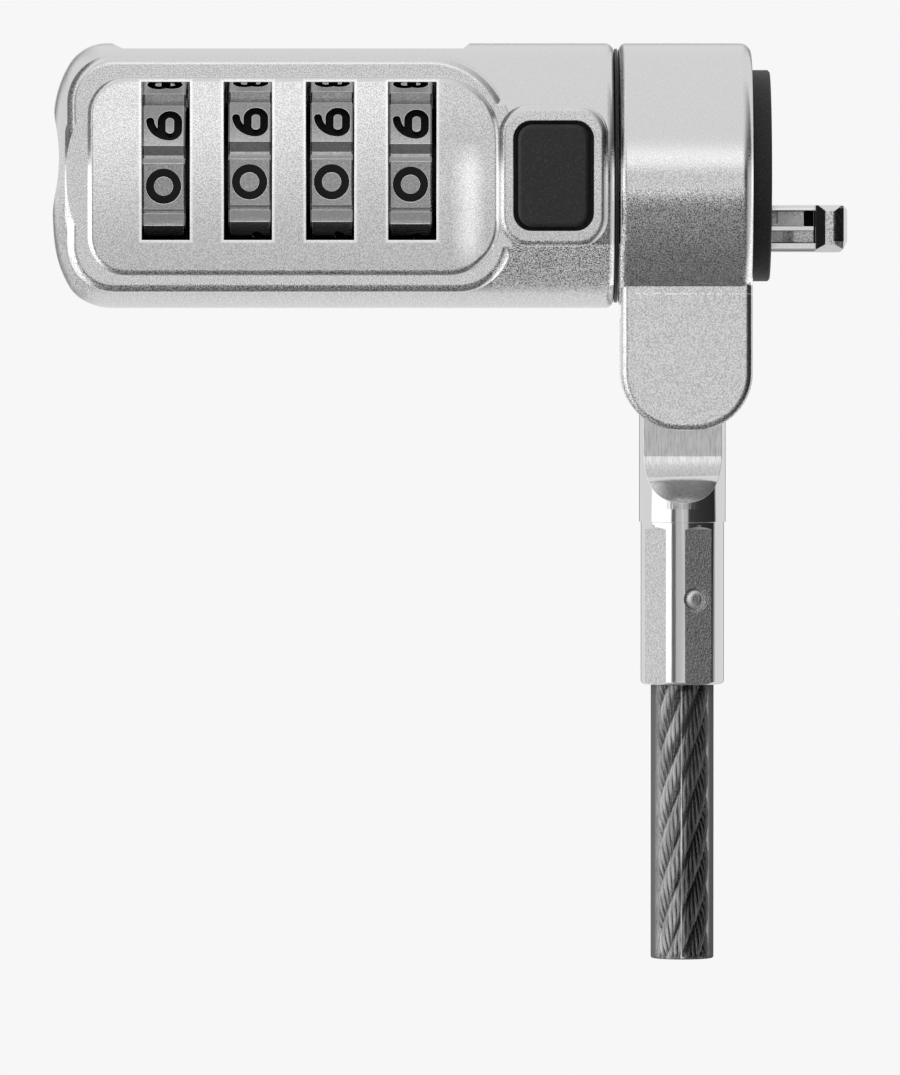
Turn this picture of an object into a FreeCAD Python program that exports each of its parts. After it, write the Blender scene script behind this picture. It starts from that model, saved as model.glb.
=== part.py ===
"""Slim laptop cable lock: four dial combination barrel, push button, swivel collar and crimped cable.

Frame: millimetres. The origin is where the barrel's axis meets the outer face of the rubber pad.
+X runs along the barrel axis towards the locking tip, +Z is up, and the dials and button face -Y.
"""
import FreeCAD, Part

import math
import os
import re

import Sketcher
from FreeCAD import Placement, Rotation, Vector

# Driving dimensions: (alias, value, what it measures).
DIMENSIONS = [
    ("barrel_left", -45.37, "X of the barrel's closed end"),
    ("barrel_right", -9.90, "X of the barrel's open end"),
    ("barrel_rad", 8.40, "outer radius of barrel and collar"),
    ("bore_rad", 6.55, "bore of the barrel"),
    ("end_wall", 2.20, "thickness of the closed end"),
    ("dome_flat", 3.60, "radius where the closed end starts to round off"),
    ("dome_big", 6.74, "radius of the rounding's flat arc"),
    ("dome_small", 2.77, "radius of the rounding's tight arc"),
    ("dome_join_x", 0.95, "where the two arcs meet, from the end"),
    ("dome_join_rad", 7.05, "where the two arcs meet, from the axis"),
    ("scoop_half", 4.35, "half the height of the thumb scoop across the closed end"),
    ("scoop_deep", 0.52, "depth of the scoop"),
    ("scoop_z", 1.08, "height of the scoop's middle"),
    ("belly_x", -41.52, "where the underside starts to round up to the closed end"),
    ("belly_rad", 3.93, "radius of that rounding"),
    ("relief_deep", 0.36, "depth of the long relief on top"),
    ("relief_left", -41.71, "relief, where its left slope starts"),
    ("relief_right", -18.98, "relief, where its right slope ends"),
    ("hub_back", -10.70, "inner face of the hub"),
    ("hub_pin_x", -11.70, "pins that hold the hub in the barrel"),
    ("hub_pin_rad", 0.60, "pins that hold the hub in the barrel"),
    ("screw_circle", 3.20, "circle of the retainer screws"),
    ("screw_rad", 0.60, "hole for a retainer screw"),
    ("ledge_left", -44.32, "outer tier of the raised front"),
    ("ledge_right", -16.36, "outer tier of the raised front"),
    ("ledge_top", 7.59, "outer tier of the raised front"),
    ("ledge_bottom", -7.37, "outer tier of the raised front"),
    ("ledge_y", -7.12, "outer tier's face"),
    ("plate_left", -43.00, "inner plate"),
    ("plate_right", -17.11, "inner plate"),
    ("plate_top", 6.20, "inner plate"),
    ("plate_bottom", -6.23, "inner plate"),
    ("plate_y", -7.50, "inner plate's face"),
    ("dial_pitch", 5.16, "spacing of the dials"),
    ("first_dial", -38.10, "X of the first dial's seat"),
    ("dial_width", 2.67, "width of a dial"),
    ("dial_play", 0.20, "side play of a dial"),
    ("dial_flat", 6.30, "centre to numeral flat"),
    ("dial_vee", 5.68, "centre to the bottom of a finger groove"),
    ("dial_bore", 4.42, "bore of a dial and of the spacers"),
    ("window_width", 3.04, "dial window along X"),
    ("window_top", 5.89, "dial window"),
    ("window_bottom", -4.04, "dial window"),
    ("tumbler_rad", 4.35, "outside of a tumbler"),
    ("tumbler_half", 1.90, "half the length of a tumbler"),
    ("tumbler_bore", 2.50, "bore of a tumbler"),
    ("web_half", 0.35, "half the thickness of a tumbler's gated web"),
    ("spindle_rad", 1.50, "core of the combination spindle"),
    ("fin_rad", 2.40, "reach of a spindle fin"),
    ("fin_width", 0.90, "width of a spindle fin"),
    ("gate_width", 1.10, "width of the gate a fin passes"),
    ("fin_half", 0.30, "half the thickness of a fin"),
    ("cam_face", -42.70, "inner face of the reset screw's cam"),
    ("fin_ahead", 0.80, "fin to web centre with the lock shut"),
    ("stroke", 1.60, "travel of button and carriage"),
    ("button_x", -13.76, "centre of the button"),
    ("button_long", 6.48, "button cap along Z"),
    ("button_wide", 4.52, "button cap along X"),
    ("button_face", -9.05, "front of the button cap"),
    ("flange_back", -5.95, "inner face of the button's flange"),
    ("bezel_face", -8.80, "front of the raised ring around the button"),
    ("bezel_wide", 6.84, "raised ring along X"),
    ("bezel_long", 8.92, "raised ring along Z"),
    ("ramp_sum", 12.50, "the 45 degree ramp is the plane Y = X + ramp_sum"),
    ("carriage_rad", 5.00, "outside of the carriage"),
    ("carriage_left", -17.80, "left end of the carriage"),
    ("carriage_right", -11.30, "right end of the carriage"),
    ("journal_rad", 5.00, "hub journal the collar turns on"),
    ("collar_left", -9.62, "left face of the collar"),
    ("collar_right", -1.17, "right face of the collar"),
    ("collar_bore", 5.05, "bore of the collar"),
    ("retainer_rad", 6.15, "disc that keeps the collar on"),
    ("pad_rad", 6.70, "rubber pad"),
    ("pad_thick", 1.12, "rubber pad"),
    ("tongue_half", 4.70, "half the depth of the collar's tongue"),
    ("tongue_left", -9.45, "left side of the tongue"),
    ("tongue_right", -1.14, "right side of the tongue"),
    ("tongue_bottom", -16.10, "lowest point of the tongue"),
    ("tongue_corner", 3.70, "rounding of the tongue's lower corners"),
    ("pivot_x", -5.50, "cable pivot"),
    ("pivot_z", -11.94, "cable pivot"),
    ("pivot_pin_rad", 1.00, "cable pivot pin"),
    ("slot_half", 1.28, "half the width of the tongue's slot"),
    ("slot_roof", -9.05, "top of the tongue's slot"),
    ("ferrule_rad", 2.75, "upper part of the ferrule"),
    ("crimp_rad", 2.65, "crimped part of the ferrule"),
    ("crimp_flat", 2.49, "centre to a crimp facet"),
    ("blade_half", 1.20, "half the thickness of the ferrule's blade"),
    ("blade_end", -17.78, "where the blade's ramp starts"),
    ("ramp_end", -20.70, "where the blade's ramp meets the round"),
    ("ramp_rad", 4.30, "radius of the hollow ramp"),
    ("crimp_top", -22.05, "where the crimp facets start"),
    ("ferrule_end", -32.27, "mouth of the ferrule"),
    ("cable_rad", 2.00, "outside of the cable"),
    ("cable_end", -49.70, "cut end of the cable"),
    ("rope_rad", 1.50, "wire rope inside the jacket"),
    ("rope_lay", 17.0, "length of one turn of the rope"),
    ("tip_z", -3.35, "centre of the locking tip"),
    ("tip_half", 1.49, "half the height of the tip"),
    ("tip_neck", 1.45, "half the depth of the tip's neck"),
    ("tip_head", 3.20, "half the length of the tip's head"),
    ("head_left", 2.87, "head of the tip"),
    ("head_right", 4.88, "head of the tip"),
    ("channel_top", -2.19, "channel the locking slider runs in"),
    ("channel_bottom", -4.29, "channel the locking slider runs in"),
    ("channel_back", 0.90, "channel the locking slider runs in"),
    ("slider_pin_x", -12.20, "pin through carriage, slider and blade"),
    ("slider_pin_rad", 0.40, "hole for the slider pin"),
]
ALIASES = {alias for alias, _, _ in DIMENSIONS}
DIAL_TURN = [6.0, 3.5, 3.5, 4.9]        # degrees each dial sits past its '0' mark
DIAL_SHIFT = [-0.17, 0.08, 0.08, -0.12]  # where each dial sits in its side play
STROKE_HALF = 0.26                       # half the width of an engraved numeral's line
ENGRAVED = 0.30                          # depth of the numerals

HUB_PIN_ANGLES = (("low", 150), ("high", 210))
SCREW_ANGLES = (90, 210, 330)
CRIMP_ANGLES = (-44, 23, 136, 203)       # facets, from the front, turning towards +X
DIMPLE_ANGLE = 23                        # the facet that carries the set pin
DIMPLE_SIDE = -0.15                      # the pin's distance from the middle of its facet
DIMPLE_Z = -26.80
LEDGE_RIGHT_CORNERS = (5.2, 3.4)         # upper and lower corner at the ledge's +X end
PLATE_RIGHT_CORNERS = (3.9, 3.3)         # the same for the inner plate

X_AXIS, Y_AXIS, Z_AXIS = Vector(1, 0, 0), Vector(0, 1, 0), Vector(0, 0, 1)
TURNS = {"X": Rotation(Y_AXIS, 90), "Y": Rotation(X_AXIS, -90), "Z": Rotation()}

doc = FreeCAD.newDocument("cable_lock")
dims = doc.addObject("Spreadsheet::Sheet", "dims")
for row, (alias, size, meaning) in enumerate(DIMENSIONS, start=1):
    dims.set(f"A{row}", alias)
    dims.set(f"B{row}", str(size))
    dims.setAlias(f"B{row}", alias)
    dims.set(f"C{row}", meaning)
doc.recompute()


def sized(text):
    """An expression in which every alias is looked up in the sheet."""
    def look_up(found):
        word = found.group(0)
        return "dims." + word if word in ALIASES else word
    return re.sub(r"[a-z_]+", look_up, str(text))


def size(text):
    """The value of an expression of aliases, in millimetres."""
    return float(dims.evalExpression(sized(text)))


def bind(obj, name, text):
    obj.setExpression(name, sized(text))


def put(obj, x, y, z, turn=None):
    """Place an object at bound coordinates."""
    obj.Placement = Placement(Vector(), turn or Rotation())
    for letter, text in zip("xyz", (x, y, z)):
        bind(obj, f"Placement.Base.{letter}", text)
    return obj


def add(kind, name):
    obj = doc.addObject(kind, name)
    obj.Label = name
    return obj


def box(name, x, y, z):
    """A block between the pairs x, y and z of bound coordinates."""
    obj = add("Part::Box", name)
    for prop, (low, high) in zip(("Length", "Width", "Height"), (x, y, z)):
        bind(obj, prop, f"({high}) - ({low})")
    return put(obj, x[0], y[0], z[0])


def rod(name, axis, radius, span, centre):
    """A cylinder along an axis letter over span, at centre = the two other coordinates in X, Y, Z order."""
    obj = add("Part::Cylinder", name)
    bind(obj, "Radius", radius)
    bind(obj, "Height", f"({span[1]}) - ({span[0]})")
    place = list(centre)
    place.insert("XYZ".index(axis), span[0])
    return put(obj, *place, TURNS[axis])


def cone(name, axis, radii, span, centre):
    obj = add("Part::Cone", name)
    bind(obj, "Radius1", radii[0])
    bind(obj, "Radius2", radii[1])
    bind(obj, "Height", f"({span[1]}) - ({span[0]})")
    place = list(centre)
    place.insert("XYZ".index(axis), span[0])
    return put(obj, *place, TURNS[axis])


def fuse(name, *shapes):
    obj = add("Part::MultiFuse", name)
    obj.Shapes = list(shapes)
    obj.Refine = True
    return obj


def common(name, *shapes):
    obj = add("Part::MultiCommon", name)
    obj.Shapes = list(shapes)
    return obj


def cut(name, base, *tools):
    obj = add("Part::Cut", name)
    obj.Base = base
    obj.Tool = tools[0] if len(tools) == 1 else fuse(name + "_tools", *tools)
    obj.Refine = True
    return obj


def group(name, *shapes):
    """Separate solids of identical pieces, kept together as one sub-part."""
    obj = add("Part::Compound", name)
    obj.Links = list(shapes)
    return obj


def rounded(name, base, radius, wanted, kind="Part::Fillet"):
    """Fillet or chamfer the edges for which wanted(edge) is true, by a radius or by radius(edge)."""
    doc.recompute()
    picked = [(n, edge) for n, edge in enumerate(base.Shape.Edges, start=1) if wanted(edge)]
    sizes = [(n, radius(edge) if callable(radius) else radius) for n, edge in picked]
    obj = add(kind, name)
    obj.Base = base
    obj.Edges = [(n, amount, amount) for n, amount in sizes]
    return obj


def round_edge(edge):
    return edge.Curve.TypeId == "Part::GeomCircle"


def runs_along(edge, axis):
    """True for a straight edge parallel to the axis."""
    return edge.Curve.TypeId == "Part::GeomLine" and abs(edge.Curve.Direction.dot(axis)) > 0.999


def rounded_box(name, x, y, z, corner, face_fillet=0.0, right_corners=None):
    """A block whose edges along Y are rounded by corner, and whose -Y rim may be filleted.

    right_corners, when given, holds the radii of the upper and the lower corner at the +X end.
    """
    upper, lower = right_corners or (corner, corner)
    middle_x = (size(x[0]) + size(x[1])) / 2
    middle_z = (size(z[0]) + size(z[1])) / 2

    def corner_radius(edge):
        if edge.BoundBox.Center.x < middle_x:
            return corner
        return upper if edge.BoundBox.Center.z > middle_z else lower

    block = box(name + "_block", x, y, z)
    soft = rounded(name + ("_corners" if face_fillet else ""), block, corner_radius,
                   lambda e: runs_along(e, Y_AXIS))
    if not face_fillet:
        return soft
    doc.recompute()
    front = soft.Shape.BoundBox.YMin
    return rounded(name, soft, face_fillet, lambda e: abs(e.BoundBox.YMax - front) < 1e-4)


def sketch_on(body, role, name):
    """An empty sketch on one of the body's own origin planes."""
    sketch = body.newObject("Sketcher::SketchObject", name)
    plane = [item for item in body.Origin.OriginFeatures if item.Role == role][0]
    sketch.AttachmentSupport = [(plane, "")]
    sketch.MapMode = "FlatFace"
    return sketch


def pin_point(sketch, index, point, x, y):
    """Tie one point of a sketch to bound coordinates."""
    for kind, text in (("DistanceX", x), ("DistanceY", y)):
        made = sketch.addConstraint(Sketcher.Constraint(kind, -1, 1, index, point, size(text)))
        sketch.setExpression(f"Constraints[{made}]", sized(text))


def outline(sketch, points):
    """A closed outline of straight lines through bound points."""
    places = [Vector(size(x), size(y), 0) for x, y in points]
    for start, end in zip(places, places[1:] + places[:1]):
        sketch.addGeometry(Part.LineSegment(start, end), False)
    count = len(points)
    for index in range(count):
        sketch.addConstraint(Sketcher.Constraint("Coincident", index, 2, (index + 1) % count, 1))
    for index, (x, y) in enumerate(points):
        pin_point(sketch, index, 1, x, y)


def arc_between(start, end, centre):
    """The shorter arc from start to end about a centre."""
    middle = (start + end) * 0.5 - centre
    middle.normalize()
    return Part.Arc(start, centre + middle * (start - centre).Length, end)


def across(name, curves):
    """A prism through the whole barrel, along Y, from a closed chain of curves on the XZ plane."""
    body = add("PartDesign::Body", name)
    sketch = sketch_on(body, "XZ_Plane", name + "_outline")
    for curve in curves:
        sketch.addGeometry(curve, False)
    pad = body.newObject("PartDesign::Pad", name + "_pad")
    pad.Profile = sketch
    pad.SideType = "Symmetric"
    bind(pad, "Length", "2 * barrel_rad + 4")
    return body


def turned(name, points):
    """A lathe part about the X axis from a profile of (x, radius) points."""
    body = add("PartDesign::Body", name)
    sketch = sketch_on(body, "XZ_Plane", name + "_profile")
    outline(sketch, points)
    spun = body.newObject("PartDesign::Revolution", name + "_spin")
    spun.Profile = sketch
    spun.ReferenceAxis = (sketch, ["H_Axis"])
    spun.Angle = 360
    return body


def padded(name, role, points, length):
    """A prism, centred on an origin plane, from an outline on that plane."""
    body = add("PartDesign::Body", name)
    sketch = sketch_on(body, role, name + "_outline")
    outline(sketch, points)
    pad = body.newObject("PartDesign::Pad", name + "_pad")
    pad.Profile = sketch
    pad.SideType = "Symmetric"
    bind(pad, "Length", length)
    return body


def ring(name, span, outer, inner):
    """A plain ring about the X axis."""
    return turned(name, [(span[0], inner), (span[1], inner), (span[1], outer), (span[0], outer)])


def polar(radius, degrees):
    """(y, z) at a distance and an angle from -Y, turning towards +Z."""
    angle = math.radians(degrees)
    return -radius * math.cos(angle), radius * math.sin(angle)


# ---------------------------------------------------------------- barrel and its fixed parts

def barrel_blank():
    """The round outside of the barrel: a cylinder whose closed end rounds off in two arcs."""
    body = add("PartDesign::Body", "barrel_blank")
    sketch = sketch_on(body, "XZ_Plane", "barrel_profile")
    corners = [
        ("barrel_right", "0"),
        ("barrel_left", "0"),
        ("barrel_left", "dome_flat"),
        ("barrel_left + dome_join_x", "dome_join_rad"),
        ("barrel_left + 3.33", "barrel_rad"),
        ("barrel_right", "barrel_rad"),
    ]
    spots = [Vector(size(x), size(y), 0) for x, y in corners]
    big_centre = Vector(size("barrel_left + dome_big"), size("dome_flat"), 0)
    small_centre = Vector(size("barrel_left + 3.33"), size("barrel_rad - dome_small"), 0)
    sketch.addGeometry(Part.LineSegment(spots[0], spots[1]), False)
    sketch.addGeometry(Part.LineSegment(spots[1], spots[2]), False)
    sketch.addGeometry(arc_between(spots[2], spots[3], big_centre), False)
    sketch.addGeometry(arc_between(spots[3], spots[4], small_centre), False)
    sketch.addGeometry(Part.LineSegment(spots[4], spots[5]), False)
    sketch.addGeometry(Part.LineSegment(spots[5], spots[0]), False)
    spun = body.newObject("PartDesign::Revolution", "barrel_spin")
    spun.Profile = sketch
    spun.ReferenceAxis = (sketch, ["H_Axis"])
    spun.Angle = 360
    return body


def end_scoop():
    """The cutter for the thumb scoop: hollow in the middle, easing out above and below in an S."""
    left, deep, half, middle = size("barrel_left"), size("scoop_deep"), size("scoop_half"), size("scoop_z")
    bend = (half ** 2 + deep ** 2) / (4 * deep)
    high, low = Vector(left, middle + half, 0), Vector(left, middle - half, 0)
    upper_turn = Vector(left + deep / 2, middle + half / 2, 0)
    lower_turn = Vector(left + deep / 2, middle - half / 2, 0)
    high_out, low_out = high - Vector(1, 0, 0), low - Vector(1, 0, 0)
    return across("end_scoop", [
        Part.LineSegment(high_out, high),
        arc_between(high, upper_turn, high + Vector(bend, 0, 0)),
        arc_between(upper_turn, lower_turn, Vector(left + deep - bend, middle, 0)),
        arc_between(lower_turn, low, low + Vector(bend, 0, 0)),
        Part.LineSegment(low, low_out),
        Part.LineSegment(low_out, high_out),
    ])


def belly_round():
    """The cutter that rounds the underside up to the closed end."""
    bend, lowest = size("belly_rad"), -size("barrel_rad")
    centre = Vector(size("belly_x"), lowest + bend, 0)
    start = Vector(centre.x, lowest, 0)
    angle = math.radians(65)
    end = centre - Vector(bend * math.sin(angle), bend * math.cos(angle), 0)
    outer = size("barrel_left") - 1
    return across("belly_round", [
        arc_between(start, end, centre),
        Part.LineSegment(end, Vector(outer, end.y, 0)),
        Part.LineSegment(Vector(outer, end.y, 0), Vector(outer, lowest - 1, 0)),
        Part.LineSegment(Vector(outer, lowest - 1, 0), Vector(start.x, lowest - 1, 0)),
        Part.LineSegment(Vector(start.x, lowest - 1, 0), start),
    ])


def dial_x(number):
    return f"first_dial + {number} * dial_pitch"


def barrel_shell():
    ledge = rounded_box("ledge", ("ledge_left", "ledge_right"), ("ledge_y", "0"),
                        ("ledge_bottom", "ledge_top"), 3.0, 0.60, LEDGE_RIGHT_CORNERS)
    plate = rounded_box("plate", ("plate_left", "plate_right"), ("plate_y", "0"),
                        ("plate_bottom", "plate_top"), 2.4, 0.35, PLATE_RIGHT_CORNERS)
    bezel = rounded_box("bezel", ("button_x - bezel_wide / 2", "button_x + bezel_wide / 2"),
                        ("bezel_face", "0"), ("-bezel_long / 2", "bezel_long / 2"), 1.9, 0.45)
    # the round front is milled away down to the ledge, within its outline, before the parts are joined
    shaved = rounded_box("front_shaving", ("barrel_left - 1", "ledge_right"), ("-barrel_rad - 1", "ledge_y"),
                         ("ledge_bottom", "ledge_top"), 0.5, right_corners=LEDGE_RIGHT_CORNERS)
    relief = padded("top_relief", "XZ_Plane", [
        ("relief_left", "barrel_rad"), ("relief_left + 0.76", "barrel_rad - relief_deep"),
        ("relief_right - 0.45", "barrel_rad - relief_deep"), ("relief_right", "barrel_rad"),
        ("relief_right", "barrel_rad + 1"), ("relief_left", "barrel_rad + 1"),
    ], "2 * barrel_rad")
    blank = rounded("barrel_rim", barrel_blank(), 0.5,
                    lambda e: e.BoundBox.XMin > size("barrel_right") - 0.01 and e.Length > 1)
    trimmed = cut("barrel_shaved", blank, shaved, relief, belly_round())
    outside = fuse("barrel_outside", trimmed, ledge, plate, bezel)
    bore = rod("barrel_bore", "X", "bore_rad", ("barrel_left + end_wall", "barrel_right + 1"), ("0", "0"))
    tools = [bore]
    for number in range(4):
        centre = dial_x(number)
        tools.append(box(f"window_{number + 1}",
                         (f"{centre} - window_width / 2", f"{centre} + window_width / 2"),
                         ("-barrel_rad - 1", "-2"), ("window_bottom", "window_top")))
    tools.append(rounded_box("button_opening", ("button_x - 2.53", "button_x + 2.53"),
                             ("-barrel_rad - 1", "-4"), ("-3.46", "3.46"), 1.15))
    tools.append(box("button_pocket", ("button_x - 3.03", "button_x + 2.87"), ("-6.6", "-3.6"),
                     ("-3.9", "3.9")))
    tools.append(box("comb_channel", ("-41.2", "-20.6"), ("6.0", "7.3"), ("-1.6", "1.6")))
    tools.append(rod("reset_hole", "X", "1.75", ("barrel_left - 1", "barrel_left + end_wall + 1"),
                     ("0", "0")))
    tools.append(end_scoop())
    for tag, degrees in HUB_PIN_ANGLES:
        tools.append(radial_rod(f"hub_pin_hole_{tag}", "hub_pin_rad", "5.0", "9.0", "hub_pin_x", degrees))
    return cut("barrel_shell", outside, *tools)


def radial_rod(name, radius, inner, outer, x, degrees):
    """A cylinder pointing away from the barrel axis between two distances from it."""
    y, z = polar(1.0, degrees)
    obj = add("Part::Cylinder", name)
    bind(obj, "Radius", radius)
    bind(obj, "Height", f"({outer}) - ({inner})")
    return put(obj, x, f"({inner}) * {y}", f"({inner}) * {z}", Rotation(Z_AXIS, Vector(0, y, z)))


def nose_hub():
    """The fixed hub: a flange and skirt pinned in the barrel, and the journal the collar turns on."""
    flange = "bore_rad - 0.05"
    lathe = turned("hub_blank", [
        ("hub_back", "0"), ("-2.13", "0"), ("-2.13", "journal_rad"), ("barrel_right", "journal_rad"),
        ("barrel_right", flange), ("hub_back", flange),
    ])
    skirt = ring("hub_skirt", ("hub_back - 2", "hub_back + 0.1"), flange, "carriage_rad + 0.25")
    behind = box("hub_skirt_back", ("-13", "-10"), ("2.5", "barrel_rad"), ("-barrel_rad", "barrel_rad"))
    body = fuse("hub_body", lathe, common("hub_skirt_part", skirt, behind))
    hole = box("hub_tip_hole", ("-11", "0"), ("-tip_neck - 0.05", "tip_neck + 0.05"),
               ("tip_z - tip_half - 0.05", "tip_z + tip_half + 0.05"))
    lock_hole = rod("hub_lock_pin_hole", "Z", "0.5", ("-journal_rad - 1", "-0.8"), ("-6", "tip_neck + 0.1"))
    tools = [hole, lock_hole]
    for tag, degrees in HUB_PIN_ANGLES:
        tools.append(radial_rod(f"hub_pin_seat_{tag}", "hub_pin_rad", "5.0", "9.0", "hub_pin_x", degrees))
    for number, degrees in enumerate(SCREW_ANGLES):
        y, z = polar(size("screw_circle"), degrees)
        tools.append(rod(f"hub_screw_hole_{number}", "X", "screw_rad", ("-6.2", "0"), (y, z)))
    return cut("nose_hub", body, *tools)


def hub_pins():
    pins = [radial_rod(f"hub_pin_{tag}", "hub_pin_rad", "5.3", "barrel_rad - 0.06", "hub_pin_x", degrees)
            for tag, degrees in HUB_PIN_ANGLES]
    return group("hub_pins", *pins)


def swivel_washer():
    return ring("swivel_washer", ("barrel_right + 0.05", "collar_left - 0.05"), "barrel_rad - 0.35",
                "collar_bore")


def collar_retainer():
    """The disc screwed to the hub that keeps the collar on, under the rubber pad."""
    disc = turned("retainer_disc", [("-2.13", "0"), ("-pad_thick", "0"), ("-pad_thick", "retainer_rad"),
                                    ("-2.13", "retainer_rad")])
    tools = [box("retainer_tip_hole", ("-3", "0"), ("-tip_neck - 0.05", "tip_neck + 0.05"),
                 ("tip_z - tip_half - 0.05", "tip_z + tip_half + 0.05"))]
    for number, degrees in enumerate(SCREW_ANGLES):
        y, z = polar(size("screw_circle"), degrees)
        tools.append(rod(f"retainer_hole_{number}", "X", "screw_rad", ("-3", "0"), (y, z)))
        tools.append(cone(f"retainer_sink_{number}", "X", ("screw_rad", "1.16"),
                          ("-pad_thick - 0.56", "-pad_thick"), (y, z)))
    return cut("collar_retainer", disc, *tools)


def retainer_screws():
    screws = []
    for number, degrees in enumerate(SCREW_ANGLES):
        y, z = polar(size("screw_circle"), degrees)
        shank = rod(f"retainer_shank_{number}", "X", "screw_rad - 0.01", ("-6.0", "-pad_thick - 0.3"), (y, z))
        head = cone(f"retainer_head_{number}", "X", ("0.58", "1.08"),
                    ("-pad_thick - 0.56", "-pad_thick - 0.06"), (y, z))
        drive = box(f"retainer_drive_{number}", ("-pad_thick - 0.3", "-pad_thick"),
                    (f"{y} - 0.12", f"{y} + 0.12"), (f"{z} - 0.9", f"{z} + 0.9"))
        screws.append(cut(f"retainer_screw_{number}", fuse(f"retainer_solid_{number}", shank, head), drive))
    return group("retainer_screws", *screws)


def face_pad():
    disc = turned("pad_disc", [("-pad_thick", "0"), ("0", "0"), ("0", "pad_rad - 0.12"), ("-0.12", "pad_rad"),
                               ("-pad_thick", "pad_rad")])
    hole = box("pad_tip_hole", ("-2", "1"), ("-tip_neck - 0.15", "tip_neck + 0.15"),
               ("tip_z - tip_half - 0.15", "tip_z + tip_half + 0.15"))
    return cut("face_pad", disc, hole)


def tip_head():
    """The cross head: a narrow front strip, bevelled to both sides, above and below."""
    top, bottom = "tip_z + tip_half", "tip_z - tip_half"
    side = padded("tip_head_side", "XZ_Plane", [
        ("head_left", bottom), ("head_right - 0.50", bottom), ("head_right - 0.33", f"{bottom} + 0.12"),
        ("head_right", f"{bottom} + 0.68"), ("head_right", top), ("head_left", top),
    ], "2 * tip_head")
    eased = rounded("tip_head_eased", side, 0.45,
                    lambda e: runs_along(e, Y_AXIS) and e.BoundBox.XMin > size("head_right") - 0.01
                    and e.BoundBox.ZMin > size("tip_z"))
    front = [("head_left", "-tip_head + 0.60"), ("head_left + 0.60", "-tip_head"),
             ("head_right - 0.82", "-tip_head"), ("head_right - 0.25", "-tip_head + 0.57"),
             ("head_right", "-tip_head + 1.15")]
    back = [(x, y.replace("-tip_head +", "tip_head -").replace("-tip_head", "tip_head"))
            for x, y in reversed(front)]
    plan = padded("tip_head_plan", "XY_Plane", front + back, "12")
    ends = padded("tip_head_ends", "YZ_Plane", [
        ("-tip_head", f"{bottom} + 0.50"), ("-tip_head + 0.90", bottom), ("tip_head - 0.90", bottom),
        ("tip_head", f"{bottom} + 0.50"), ("tip_head", f"{top} - 0.35"), ("tip_head - 0.45", top),
        ("-tip_head + 0.45", top), ("-tip_head", f"{top} - 0.35"),
    ], "12")
    return common("tip_head", common("tip_head_outline", eased, plan), ends)


def t_bar():
    """The hooked tip: a channel-shaped neck open to the front, and its cross head."""
    shank = box("tip_shank", ("-8", "head_left + 0.1"), ("-tip_neck", "tip_neck"),
                ("tip_z - tip_half", "tip_z + tip_half"))
    smooth = rounded("tip_shank_eased", shank, 0.28, lambda e: runs_along(e, X_AXIS))
    channel = box("tip_channel", ("-9", "head_left"), ("-tip_neck - 1", "channel_back"),
                  ("channel_bottom", "channel_top"))
    notch = rod("tip_pin_notch", "Z", "0.51", ("tip_z - 3", "tip_z + 3"), ("-6", "tip_neck + 0.1"))
    return fuse("t_bar", cut("tip_neck_channel", smooth, channel, notch), tip_head())


def t_bar_pin():
    return rod("t_bar_pin", "Z", "0.49", ("-4.5", "-0.85"), ("-6", "tip_neck + 0.1"))


def spacer_span(number):
    """Span of the spacer between dial number and the next one."""
    half = "(dial_width / 2 + dial_play)"
    return f"{dial_x(number)} + {half}", f"{dial_x(number + 1)} - {half}"


def dial_spacers():
    rings = [ring(f"spacer_{number + 1}", spacer_span(number), "bore_rad - 0.05", "dial_bore")
             for number in range(3)]
    return group("dial_spacers", *rings)


def end_bush():
    """The left bearing of the dial stack, with the pocket for the reset cam."""
    rim = "bore_rad - 0.05"
    left = "barrel_left + end_wall + 0.02"
    right = "first_dial - dial_width / 2 - dial_play"
    deep = "first_dial - tumbler_half - 0.08"
    return turned("end_bush", [
        (left, "2.60"), ("-42.10", "2.60"), ("-42.10", "spindle_rad + 0.10"), (deep, "spindle_rad + 0.10"),
        (deep, "dial_bore"), (right, "dial_bore"), (right, rim), (left, rim),
    ])


def end_plate():
    """The right bearing of the dial stack, recessed for the carriage spring."""
    rim = "bore_rad - 0.05"
    left = f"{dial_x(3)} + dial_width / 2 + dial_play"
    deep = f"{dial_x(3)} + tumbler_half + 0.08"
    return turned("end_plate", [
        (left, "dial_bore"), (deep, "dial_bore"),
        (deep, "spindle_rad + 0.10"), ("-20.10", "spindle_rad + 0.10"),
        ("-20.10", "3.30"), ("-19.50", "3.30"), ("-19.50", rim), (left, rim),
    ])


def detent_comb():
    """Leaf spring behind the dials: one finger with a rib for each dial."""
    strip = box("comb_strip", ("-40.9", "-20.9"), ("6.85", "7.10"), ("-1.4", "1.4"))
    fingers = []
    slits = []
    for number in range(4):
        centre = dial_x(number)
        fingers.append(rod(f"comb_rib_{number + 1}", "X", "0.30", (f"{centre} - 1.0", f"{centre} + 1.0"),
                           ("6.86", "0")))
        for tag, shift in (("a", -1.5), ("b", 1.5)):
            span = (f"{centre} + {shift} - 0.1", f"{centre} + {shift} + 0.1")
            slits.append(box(f"comb_slit_{number + 1}{tag}", span, ("6", "8"), ("-0.8", "1.6")))
    return cut("detent_comb", fuse("comb_body", strip, *fingers), *slits)


def comb_rivets():
    rivets = [rod(f"comb_rivet_{tag}", "Y", "0.45", ("7.10", "7.28"), (x, "0"))
              for tag, x in (("left", "-40.4"), ("right", "-25.2"))]
    return group("comb_rivets", *rivets)


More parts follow.
